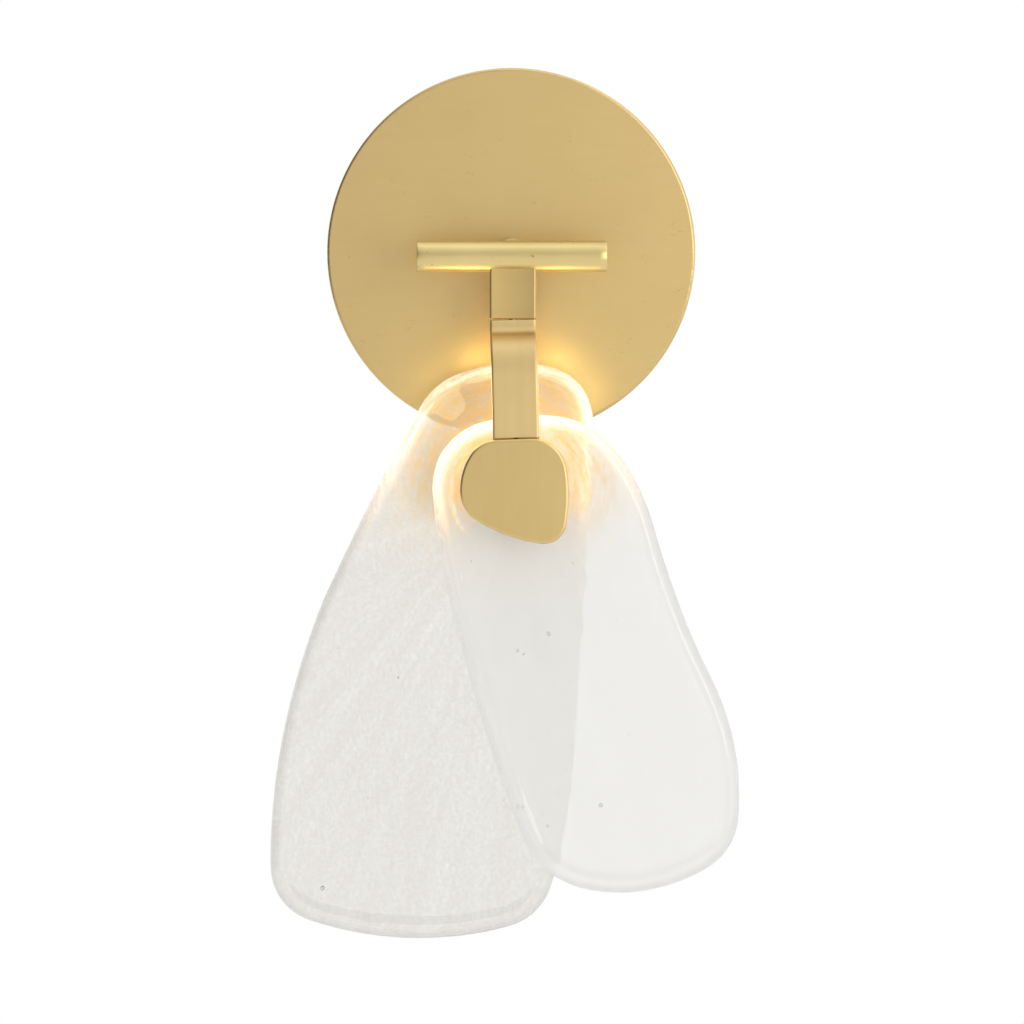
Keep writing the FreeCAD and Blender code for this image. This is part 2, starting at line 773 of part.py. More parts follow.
def strap():
    """Flat bar: S-bend at the top, tongue with the hub hole at the bottom, lead groove."""
    half, half_width = size("strap_gauge") / 2, size("strap_width") / 2
    back = strap_shift() - half
    body = new_body("strap")
    profile = new_sketch(body, "YZ_Plane", "profile")
    strap_band(profile, -half, half, size("strap_end"))
    add_feature(body, "Pad", "bar", profile, "strap_width", symmetric=True)

    def long_edge(edge):
        box = edge.BoundBox
        on_side = abs(abs(box.XMin) - half_width) < 1e-4 and box.XLength < 1e-4
        on_end = abs(box.YMax) < 1e-4 or abs(box.YMin + size("strap_end")) < 1e-4
        return on_side and not (on_end and box.YLength < 1e-4)

    add_edge_feature(body, "Fillet", "soft_edges", long_edge, "strap_edge")
    tongue = new_sketch(body, "XY_Plane", "tongue", back)
    top, drop = size("strap_end") - size("tongue_overlap"), size("hub_drop")
    tongue.addGeometry(Part.LineSegment(Vector(-half_width, -top, 0),
                                        Vector(half_width, -top, 0)))
    tongue.addGeometry(Part.LineSegment(Vector(half_width, -top, 0),
                                        Vector(half_width, -drop, 0)))
    tongue.addGeometry(Part.Arc(Vector(half_width, -drop, 0), Vector(0, -drop - half_width, 0),
                                Vector(-half_width, -drop, 0)))
    tongue.addGeometry(Part.LineSegment(Vector(-half_width, -drop, 0),
                                        Vector(-half_width, -top, 0)))
    add_feature(body, "Pad", "tongue_pad", tongue, "tongue_gauge")
    groove = new_sketch(body, "YZ_Plane", "groove")
    strap_band(groove, -half, size("groove_depth") - half, size("groove_end"))
    add_feature(body, "Pocket", "groove_cut", groove, "groove_width", symmetric=True)
    rebate = new_sketch(body, "YZ_Plane", "rebate")
    strap_band(rebate, -half, size("cover_gauge") - half, size("cover_end"))
    add_feature(body, "Pocket", "rebate_cut", rebate, "cover_width", symmetric=True)
    hub = new_sketch(body, "XY_Plane", "hub_hole", back)
    add_circle(hub, "sleeve_radius", 0, -drop)
    for side in (-1, 1):
        add_circle(hub, "cap_screw_radius", side * size("cap_screw_side"),
                   size("cap_screw_up") - drop)
    add_feature(body, "Pocket", "hub_hole_cut", hub, "strap_gauge", reverse=True)
    socket = new_sketch(body, "XZ_Plane", "dowel_hole")
    add_circle(socket, "dowel_radius", 0, -size("dowel_back"))
    add_feature(body, "Pocket", "dowel_hole_cut", socket, "dowel_in_strap", reverse=True)
    body.Placement = hanging()
    return body


def channel_cover():
    """Thin strip that closes the lead groove at the back of the strap."""
    half = size("strap_gauge") / 2
    body = new_body("channel_cover")
    profile = new_sketch(body, "YZ_Plane", "profile")
    strap_band(profile, -half, size("cover_gauge") - half, size("cover_end"))
    add_feature(body, "Pad", "strip", profile, "cover_width", symmetric=True)
    body.Placement = hanging()
    return body


def rounded_path(points, radii):
    """A wire of straight runs joined by tangent arcs at the inner points."""
    edges = []
    last = points[0]
    for before, corner, after, radius in zip(points, points[1:], points[2:], radii):
        back = (before - corner).normalize()
        onward = (after - corner).normalize()
        half_turn = (math.pi - back.getAngle(onward)) / 2
        reach = radius * math.tan(half_turn)
        enter, leave = corner + back * reach, corner + onward * reach
        inward = (back + onward).normalize()
        middle = corner + inward * (radius / math.cos(half_turn) - radius)
        if (enter - last).Length > 1e-3:
            edges.append(Part.LineSegment(last, enter).toShape())
        edges.append(Part.Arc(enter, middle, leave).toShape())
        last = leave
    edges.append(Part.LineSegment(last, points[-1]).toShape())
    return Part.Wire(edges)


def lead_route():
    """Corners of the lamp lead from the driver to the hub, and the radius at each bend."""
    out = stack()
    hang = hanging()
    back = -size("lead_back")
    angle = math.radians(size("bend_angle"))
    upper, lower = size("upper_bend") - back, size("lower_bend") + back
    bend_start = size("strap_straight") + upper * math.tan(angle / 2)
    bend_end = (size("strap_straight") + both_bends() * math.sin(angle)
                - lower * math.tan(angle / 2))
    flat = strap_shift() + back
    over = out["cap"] - size("bar_out") + size("lead_over_hub")
    inside = out["core"] - size("bar_out") + size("lead_tail")

    def on_strap(drop, away):
        return hang.multVec(Vector(0, -drop, away))

    start = size("lead_start")
    corners = [
        Vector(0, -start, size("driver_up") - size("driver_width") / 2),
        Vector(0, -start, 0),
        on_strap(strap_top()[1], back),
        on_strap(bend_start, back),
        on_strap(bend_end, flat),
        on_strap(size("lead_cross_start"), flat),
        on_strap(size("lead_cross_end"), over),
        on_strap(size("hub_drop"), over),
        on_strap(size("hub_drop"), inside),
    ]
    bends = [size("lead_bend"), size("lead_tight_bend"), upper, lower,
             size("lead_bend"), size("lead_bend"), size("lead_hub_bend")]
    return corners, bends


def lamp_lead():
    """Lead from the driver through stud, post, bar, block and strap to the hub."""
    corners, bends = lead_route()
    path = rounded_path(corners, bends)
    radius = size("lead_radius")
    heading = (corners[1] - corners[0]).normalize()
    section = Part.Wire(Part.Circle(corners[0], heading, radius).toShape())
    lead = doc.addObject("Part::Feature", "lamp_lead")
    lead.Shape = path.makePipeShell([section], True, False)
    lead.Label = "lamp_lead"
    expected = math.pi * radius ** 2 * path.Length
    print(f"lamp_lead: {path.Length:.1f} mm long, bends {[round(b, 1) for b in bends]} mm, "
          f"volume {lead.Shape.Volume:.1f} of {expected:.1f} mm3")
    return lead


# ---------------------------------------------------------------- hub

def on_hub(out):
    """Placement on the hub's axis."""
    x, up = hub_centre()
    return facing(x, up, out)


def hub_sleeve():
    """Threaded tube that carries both petals and lets the lead through."""
    out = stack()
    return ring("hub_sleeve", "sleeve_radius", "sleeve_bore", out["cap"] - out["sleeve"],
                on_hub(out["sleeve"]))


def front_gasket():
    """Silicone ring between the strap and the front petal."""
    return ring("front_gasket", "gasket_radius", "sleeve_radius", "gasket_gauge",
                on_hub(stack()["front_gasket"]))


def rear_gasket():
    """Silicone ring between the rear petal and the retaining disc."""
    return ring("rear_gasket", "gasket_radius", "sleeve_radius", "gasket_gauge",
                on_hub(stack()["rear_gasket"]))


def petal_bush(label, level_name):
    """Sleeve bonded in a petal's hole, which turns on the hub sleeve."""
    return ring(label, "bush_radius", "sleeve_radius + bush_clearance", "glass_gauge",
                on_hub(stack()[level_name]))


def lamp_core():
    """Aluminium hub that spaces the petals and cools the light strip."""
    return ring("lamp_core", "core_radius", "sleeve_radius", "core_length",
                on_hub(stack()["core"]))


def led_strip():
    """Flexible light strip wrapped round the core."""
    return ring("led_strip", "core_radius + strip_gauge", "core_radius", "core_length",
                on_hub(stack()["core"]))


def led_chips():
    """Light chips in a row round the strip."""
    radius = size("core_radius") + size("strip_gauge")
    middle = (size("core_length") - size("chip_size")) / 2
    count = int(size("chip_count"))
    chips = []
    for number in range(count):
        chip = doc.addObject("Part::Box", f"led_chip_{number + 1}")
        chip.setExpression("Length", bound("chip_height"))
        chip.setExpression("Width", bound("chip_size"))
        chip.setExpression("Height", bound("chip_size"))
        turn = FreeCAD.Rotation(Vector(0, 0, 1), 360 * number / count)
        at = FreeCAD.Placement(Vector(radius, -size("chip_size") / 2, middle),
                               FreeCAD.Rotation())
        chip.Placement = FreeCAD.Placement(Vector(), turn).multiply(at)
        chips.append(chip)
    return group("led_chips", chips, on_hub(stack()["core"]))


def diffuser_ring():
    """Opal ring round the light strip."""
    return ring("diffuser_ring", "diffuser_radius", "diffuser_radius - diffuser_wall",
                "core_length", on_hub(stack()["core"]))


def core_washers():
    """Two washers that close the ends of the lamp core."""
    out = stack()
    rings = [ring(f"core_washer_{name}", "diffuser_radius", "sleeve_radius",
                  "core_washer_gauge", on_hub(out[f"{name}_washer"]))
             for name in ("front", "rear")]
    return group("core_washers", rings)


def rear_disc():
    """Brass disc behind the rear petal."""
    body = new_body("rear_disc")
    section = new_sketch(body, "XY_Plane", "section")
    add_circle(section, "rear_disc_radius")
    add_circle(section, "sleeve_radius")
    add_feature(body, "Pad", "disc", section, "rear_disc_gauge")

    def rim_edge(edge):
        return level(edge, 0) and edge.BoundBox.XLength > size("rear_disc_radius")

    add_edge_feature(body, "Fillet", "rim", rim_edge, "rear_disc_edge")
    body.Placement = on_hub(stack()["rear_disc"])
    return body


def rear_cap_nut():
    """Closed nut on the end of the sleeve."""
    body = new_body("rear_cap_nut")
    section = new_sketch(body, "XY_Plane", "section")
    add_circle(section, "cap_nut_radius")
    add_feature(body, "Pad", "nut", section, "cap_nut_height")

    def back_edge(edge):
        return level(edge, 0)

    add_edge_feature(body, "Fillet", "dome", back_edge, "cap_nut_dome")
    thread = new_sketch(body, "XY_Plane", "thread", size("cap_nut_height"))
    add_circle(thread, "sleeve_radius")
    add_feature(body, "Pocket", "thread_cut", thread, "cap_nut_height - sleeve_tail")
    body.Placement = on_hub(stack()["cap_nut"])
    return body


# ---------------------------------------------------------------- petals and cap

def glass_petal(label, outline, level_name):
    """Cast glass slab with a full round rim and a hole at the hub."""
    gauge = size("glass_gauge")
    body = new_body(label)
    shape = new_sketch(body, "XY_Plane", "outline")
    add_outline(shape, outline, hub_centre())
    add_feature(body, "Pad", "slab", shape, "glass_gauge")

    def rim_edge(edge):
        return level(edge, 0) or level(edge, gauge)

    add_edge_feature(body, "Fillet", "round_rim", rim_edge, "glass_round")
    hole = new_sketch(body, "XY_Plane", "hole")
    add_circle(hole, "bush_radius")
    add_feature(body, "Pocket", "hole_cut", hole, symmetric=True, through=True)
    body.Placement = on_hub(stack()[level_name])
    return body


def pebble_cap():
    """Pebble-shaped brass cap over the hub, hollowed behind for the lead."""
    gauge, drop = size("cap_gauge"), size("hub_drop")
    body = new_body("pebble_cap")
    shape = new_sketch(body, "XY_Plane", "outline")
    add_outline(shape, "cap", (0, -drop))
    add_feature(body, "Pad", "plate", shape, "cap_gauge")

    def front_edge(edge):
        return level(edge, gauge)

    add_edge_feature(body, "Fillet", "soft_edge", front_edge, "cap_edge")
    hollow = new_sketch(body, "XY_Plane", "hollow")
    rise, radius = size("cap_pocket_rise"), size("cap_pocket_radius")
    add_slot(hollow, 0, rise / 2, rise + 2 * radius, 2 * radius, along_x=False)
    add_feature(body, "Pocket", "hollow_cut", hollow, "cap_pocket_depth", reverse=True)
    holes = new_sketch(body, "XY_Plane", "screw_holes")
    for side in (-1, 1):
        add_circle(holes, "cap_screw_radius", side * size("cap_screw_side"),
                   size("cap_screw_up"))
    add_feature(body, "Pocket", "screw_holes_cut", holes, "cap_screw_length - tongue_gauge",
                reverse=True)
    body.Placement = hanging(0, -drop, stack()["cap"] - size("bar_out"))
    return body


def cap_screws():
    """Two pan-head screws through the tongue into the cap."""
    behind = stack()["strap_back"] - size("bar_out")
    screws = []
    for side, name in ((-1, "left"), (1, "right")):
        shank = cylinder(f"cap_screw_{name}_shank", "cap_screw_radius", "cap_screw_length")
        under = FreeCAD.Placement(Vector(0, 0, -size("cap_screw_head_height")),
                                  FreeCAD.Rotation())
        head = cylinder(f"cap_screw_{name}_head", "cap_screw_head", "cap_screw_head_height",
                        under)
        screw = fused(f"cap_screw_{name}", shank, head,
                      hanging(side * size("cap_screw_side"),
                              size("cap_screw_up") - size("hub_drop"), behind))
        screws.append(screw)
    return group("cap_screws", screws)


# ---------------------------------------------------------------- build and export

def all_parts():
    """Every node of the sconce, from the wall outwards."""
    return [
        crossbar(), ground_screw(), canopy(), canopy_side_screws(),
        led_driver(), driver_nuts(), terminal_block(), mains_leads(),
        hollow_stud(), stud_washer(), stud_nut(),
        post(), cross_bar(), stem_block(), stem_dowel(),
        strap(), channel_cover(), lamp_lead(),
        hub_sleeve(), front_gasket(),
        glass_petal("front_glass", "front", "front_glass"),
        petal_bush("front_glass_bush", "front_glass"),
        lamp_core(), led_strip(), led_chips(), diffuser_ring(), core_washers(),
        glass_petal("rear_glass", "rear", "rear_glass"),
        petal_bush("rear_glass_bush", "rear_glass"),
        rear_gasket(), rear_disc(), rear_cap_nut(),
        pebble_cap(), cap_screws(),
    ]


def check(parts):
    """Stops if any object failed or any node's shape is empty or broken."""
    for thing in doc.Objects:
        if {"Invalid", "Error"} & set(thing.State):
            raise RuntimeError(f"{thing.Name} failed: {thing.State}")
    for part in parts:
        if part.Shape.isNull() or not part.Shape.isValid() or part.Shape.Volume <= 0:
            raise RuntimeError(f"{part.Label} has no valid shape")


def main():
    """Builds the document and writes one STEP file per node."""
    parts = all_parts()
    doc.recompute()
    check(parts)
    os.makedirs("parts", exist_ok=True)
    for part in parts:
        part.Shape.exportStep(os.path.join("parts", f"{part.Label}.step"))
        print(f"{part.Label}: {len(part.Shape.Solids)} solid, {part.Shape.Volume:.0f} mm3")
    print(f"{len(parts)} nodes")


main()
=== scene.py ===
"""Shell wall sconce: a brass canopy, T-bar and strap that hold two cast glass petals.

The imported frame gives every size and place, in metres: +Z up, +Y into the wall, and the room
at -Y.  Each sub-assembly below is a class that holds its sizes, builds its meshes and dresses
them.  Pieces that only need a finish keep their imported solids.
"""

import logging
import math
import random
from collections.abc import Iterable, Sequence
from dataclasses import dataclass, field
from enum import Enum

import bmesh
import bpy
from mathutils import Matrix, Vector, noise


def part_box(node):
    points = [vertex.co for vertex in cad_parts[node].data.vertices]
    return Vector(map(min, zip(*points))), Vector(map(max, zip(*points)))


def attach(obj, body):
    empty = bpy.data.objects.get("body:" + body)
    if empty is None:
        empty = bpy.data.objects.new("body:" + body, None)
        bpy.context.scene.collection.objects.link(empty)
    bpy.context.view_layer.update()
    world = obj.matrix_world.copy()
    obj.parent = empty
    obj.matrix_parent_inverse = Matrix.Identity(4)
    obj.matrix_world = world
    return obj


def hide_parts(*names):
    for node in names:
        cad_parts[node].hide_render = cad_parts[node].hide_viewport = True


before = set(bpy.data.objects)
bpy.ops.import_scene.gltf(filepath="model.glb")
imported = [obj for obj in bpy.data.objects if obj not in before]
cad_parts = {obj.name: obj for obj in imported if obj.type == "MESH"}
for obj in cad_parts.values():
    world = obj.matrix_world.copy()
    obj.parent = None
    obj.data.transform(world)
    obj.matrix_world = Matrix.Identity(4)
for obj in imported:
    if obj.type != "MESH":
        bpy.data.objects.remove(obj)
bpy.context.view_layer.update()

LOG = logging.getLogger("sconce")
Triple = tuple[float, float, float]
Colour = Triple
Profile = list[tuple[float, float]]
Outline = list[Vector]

ROOT = "wall_frame"
OUTWARD = Vector((0.0, -1.0, 0.0))
RIGHT = Vector((1.0, 0.0, 0.0))
INWARD = -OUTWARD
DOWN = Vector((0.0, 0.0, -1.0))
ROOM_SIDE = -1.0
WALL_SIDE = 1.0

UNIT: Triple = (1.0, 1.0, 1.0)
BLACK: Colour = (0.0, 0.0, 0.0)
TARNISH: Colour = (0.20, 0.12, 0.045)
CRISP = 40.0


# ---------------------------------------------------------------- finishes


class Shader:
    """A material's node tree, with short calls for its usual nodes."""

    def __init__(self, name: str) -> None:
        """Starts an empty tree.

        Args:
            name: Name of the material.
        """
        self.material = bpy.data.materials.new(name)
        self.material.use_nodes = True
        self.tree = self.material.node_tree
        self.tree.nodes.clear()
        self.output = self.tree.nodes.new("ShaderNodeOutputMaterial")
        self.surface = self.add("ShaderNodeBsdfPrincipled")
        self.join(self.surface, "BSDF", self.output, "Surface")

    def add(self, kind: str, **settings: object) -> bpy.types.Node:
        """Adds a node.

        Args:
            kind: Blender's name for the node type.
            **settings: Properties to set on it.

        Returns:
            The new node.
        """
        node = self.tree.nodes.new(kind)
        for key, value in settings.items():
            setattr(node, key, value)
        return node

    def join(self, source: bpy.types.Node, out: str | int, target: bpy.types.Node,
             into: str | int) -> None:
        """Links an output socket to an input socket."""
        self.tree.links.new(source.outputs[out], target.inputs[into])

    def place(self, stretch: Triple = UNIT) -> bpy.types.Node:
        """Object coordinates in metres, stretched along the axes.

        Args:
            stretch: Factor on each axis; a small one draws the pattern out along it.

        Returns:
            A mapping node.
        """
        coordinates = self.add("ShaderNodeTexCoord")
        mapping = self.add("ShaderNodeMapping")
        mapping.inputs["Scale"].default_value = stretch
        self.join(coordinates, "Object", mapping, "Vector")
        return mapping

    def noise(self, size: float, stretch: Triple = UNIT, detail: float = 3.0,
              rough: float = 0.55) -> bpy.types.Node:
        """Noise whose features are about a given size.

        Args:
            size: Feature size in metres.
            stretch: Factor on each axis.
            detail: Number of finer layers.
            rough: Strength of the finer layers.

        Returns:
            A noise node.
        """
        texture = self.add("ShaderNodeTexNoise")
        texture.inputs["Scale"].default_value = 1.0 / size
        texture.inputs["Detail"].default_value = detail
        texture.inputs["Roughness"].default_value = rough
        self.join(self.place(stretch), "Vector", texture, "Vector")
        return texture

    def span(self, source: bpy.types.Node, low: float, high: float, to_low: float = 0.0,
             to_high: float = 1.0, out: str | int = 0) -> bpy.types.Node:
        """Maps a value from one range to another and holds it there.

        Args:
            source: Node that gives the value.
            low: Start of the value's range.
            high: End of the value's range.
            to_low: Result at the start.
            to_high: Result at the end.
            out: The node's output that is the value.

        Returns:
            A map range node, whose result is output 0.
        """
        node = self.add("ShaderNodeMapRange")
        for key, value in (("From Min", low), ("From Max", high), ("To Min", to_low),
                           ("To Max", to_high)):
            node.inputs[key].default_value = value
        self.join(source, out, node, "Value")
        return node

    def blend(self, factor: bpy.types.Node, first: Colour | bpy.types.Node,
              second: Colour | bpy.types.Node) -> bpy.types.Node:
        """Mixes two colours.

        Args:
            factor: Node whose output 0 is the second colour's share, from 0 to 1.
            first: The first colour, or the mix node that gives it.
            second: The second colour, or the mix node that gives it.

        Returns:
            A mix node, whose colour is output 2.
        """
        node = self.add("ShaderNodeMix", data_type="RGBA")
        self.join(factor, 0, node, 0)
        for socket, colour in ((6, first), (7, second)):
            if isinstance(colour, bpy.types.Node):
                self.join(colour, 2, node, socket)
            else:
                node.inputs[socket].default_value = (*colour, 1.0)
        return node

    def total(self, *parts: bpy.types.Node) -> bpy.types.Node:
        """Sum of several values.

        Args:
            *parts: Nodes whose output 0 is added up.

        Returns:
            A math node.
        """
        node = parts[0]
        for part in parts[1:]:
            added = self.add("ShaderNodeMath", operation="ADD")
            self.join(node, 0, added, 0)
            self.join(part, 0, added, 1)
            node = added
        return node

    def product(self, first: bpy.types.Node, second: bpy.types.Node) -> bpy.types.Node:
        """Product of two values, held between 0 and 1.

        Args:
            first: Node whose output 0 is one factor.
            second: Node whose output 0 is the other.

        Returns:
            A math node.
        """
        node = self.add("ShaderNodeMath", operation="MULTIPLY", use_clamp=True)
        self.join(first, 0, node, 0)
        self.join(second, 0, node, 1)
        return node

    def paint(self, tone: bpy.types.Node) -> None:
        """Gives the surface the colour of a mix node."""
        self.join(tone, 2, self.surface, "Base Color")

    def mottle(self, source: bpy.types.Node, low: float, high: float, colour: Colour,
               shade: Colour) -> None:
        """Colours the surface in two shades that follow a noise."""
        self.paint(self.blend(self.span(source, low, high), colour, shade))

    def grain(self, source: bpy.types.Node, ends: tuple[float, float],
              roughness: tuple[float, float], depth: float) -> None:
        """Lets a noise vary the roughness and raise the surface.

        Args:
            source: Node whose output 0 is the noise.
            ends: Values of the noise between which the roughness changes.
            roughness: Roughness at each of them.
            depth: Height of the grain in metres.
        """
        self.join(self.span(source, *ends, *roughness), 0, self.surface, "Roughness")
        self.bump(source, depth)

    def bump(self, height: bpy.types.Node, depth: float) -> None:
        """Raises the surface.

        Args:
            height: Node whose output 0 is the height, from 0 to 1.
            depth: Depth in metres that the height is multiplied by.
        """
        node = self.add("ShaderNodeBump")
        node.inputs["Strength"].default_value = 1.0
        node.inputs["Distance"].default_value = depth
        self.join(height, 0, node, "Height")
        self.join(node, "Normal", self.surface, "Normal")

    def set(self, **values: float | Colour) -> None:
        """Sets constant values on the shader.

        Args:
            **values: Value of each input, with underscores for spaces in the names.
        """
        for key, value in values.items():
            socket = self.surface.inputs[key.replace("_", " ")]
            socket.default_value = (*value, 1.0) if isinstance(value, tuple) else value


class Grain(Enum):
    """Direction of a brushed grain, as the stretch of its noise on X, Y and Z."""

    SIDEWAYS = (0.04, 1.0, 1.0)
    UPRIGHT = (1.0, 1.0, 0.04)
    LOOSE_SIDEWAYS = (0.18, 1.0, 1.0)
    LOOSE_UPRIGHT = (1.0, 1.0, 0.15)
    EVEN = (1.0, 1.0, 1.0)


@dataclass(frozen=True)
class Brass:
    """Brushed brass with a fine grain, soft clouding, a few tarnish specks and, where asked, a
    painted shade on one side.

    Attributes:
        name: Name of the material.
        colour: Colour of clean metal.
        shade: Colour of dull metal.
        roughness: Mean roughness of the brushed surface.
        grain: Direction of the brushing.
        grain_size: Width of the brush lines in metres.
        depth: Depth of the brush lines in metres.
        specks: Strength of the tarnish specks.
        clouds: Share of dull metal in large soft clouds.
        mottle: Share of dull metal in small marks along the grain.
        lacquer: Weight of the clear lacquer.
        fade: Where a painted shade, darker towards +X, starts and ends along X, in metres, and
            its strength.
    """

    name: str
    colour: Colour
    shade: Colour
    roughness: float
    grain: Grain
    grain_size: float = 0.00035
    depth: float = 0.000006
    specks: float = 0.0
    clouds: float = 0.55
    mottle: float = 0.35
    lacquer: float = 0.6
    fade: Triple = (0.0, 0.0, 0.0)

    def build(self) -> bpy.types.Material:
        """Makes the material.

        Returns:
            The finished material.
        """
        shader = Shader(self.name)
        grain = shader.noise(self.grain_size, self.grain.value, 4.0, 0.6)
        cloud = shader.noise(0.030, UNIT, 2.0)
        mottle = shader.noise(0.0035, self.grain.value, 3.0)
        veil = shader.total(shader.span(cloud, 0.30, 0.70, 0.0, self.clouds),
                            shader.span(mottle, 0.30, 0.70, 0.0, self.mottle))
        tone = shader.blend(veil, self.colour, self.shade)
        # Painted shade: the metal darkens towards +X, standing in for a dark reflection on that
        # side.
        start, end, share = self.fade
        if start != end:
            axes = shader.add("ShaderNodeSeparateXYZ")
            shader.join(shader.place(), "Vector", axes, 0)
            painted_shade = tuple(value * 0.6 for value in self.shade)
            tone = shader.blend(shader.span(axes, start, end, 0.0, share, "X"), tone, painted_shade)
        if self.specks > 0:
            spot = shader.noise(0.0011, (0.45, 1.0, 1.0), 2.0, 0.7)
            place = shader.noise(0.011, UNIT, 1.0)
            both = shader.product(shader.span(spot, 0.62, 0.70),
                                  shader.span(place, 0.60, 0.68, 0.0, self.specks))
            tone = shader.blend(both, tone, TARNISH)
        shader.paint(tone)
        shader.grain(grain, (0.25, 0.75), (self.roughness - 0.05, self.roughness + 0.06),
                     self.depth)
        shader.set(Metallic=1.0, Coat_Weight=self.lacquer, Coat_Roughness=0.22, Coat_IOR=1.5)
        return shader.material


@dataclass(frozen=True)
class Metal:
    """Plated or turned metal with a fine grain.

    Attributes:
        name: Name of the material.
        colour: Colour of most of it.
        shade: Colour of its soft clouds.
        roughness: Mean roughness.
        grain: Direction of the grain.
    """

    name: str
    colour: Colour
    shade: Colour
    roughness: float = 0.35
    grain: Grain = Grain.EVEN

    def build(self) -> bpy.types.Material:
        """Makes the material.

        Returns:
            The finished material.
        """
        shader = Shader(self.name)
        shader.mottle(shader.noise(0.006, self.grain.value, 4.0, 0.6), 0.35, 0.65,
                      self.colour, self.shade)
        shader.grain(shader.noise(0.0004, self.grain.value, 3.0), (0.3, 0.7),
                     (self.roughness - 0.07, self.roughness + 0.08), 0.000008)
        shader.set(Metallic=1.0)
        return shader.material


@dataclass(frozen=True)
class Moulded:
    """Plastic, rubber or silicone with a fine moulded texture.

    Attributes:
        name: Name of the material.
        colour: Colour of most of it.
        shade: Colour of its soft clouds.
        roughness: Mean roughness.
        texture: Size of the moulded texture in metres.
        depth: Depth of that texture in metres.
        glow: Colour and strength of its own light; on the light board this is a painted glow.
        through: Share of light that travels under its surface.
    """

    name: str
    colour: Colour
    shade: Colour
    roughness: float = 0.5
    texture: float = 0.00045
    depth: float = 0.00002
    glow: Colour = BLACK
    through: float = 0.0

    def build(self) -> bpy.types.Material:
        """Makes the material.

        Returns:
            The finished material.
        """
        shader = Shader(self.name)
        shader.mottle(shader.noise(0.008), 0.35, 0.65, self.colour, self.shade)
        shader.grain(shader.noise(self.texture, UNIT, 2.0), (0.3, 0.7),
                     (self.roughness - 0.06, self.roughness + 0.06), self.depth)
        if max(self.glow) > 0:
            shader.set(Emission_Color=self.glow, Emission_Strength=1.0)
        if self.through > 0:
            shader.set(Subsurface_Weight=self.through, Subsurface_Scale=0.002)
        return shader.material


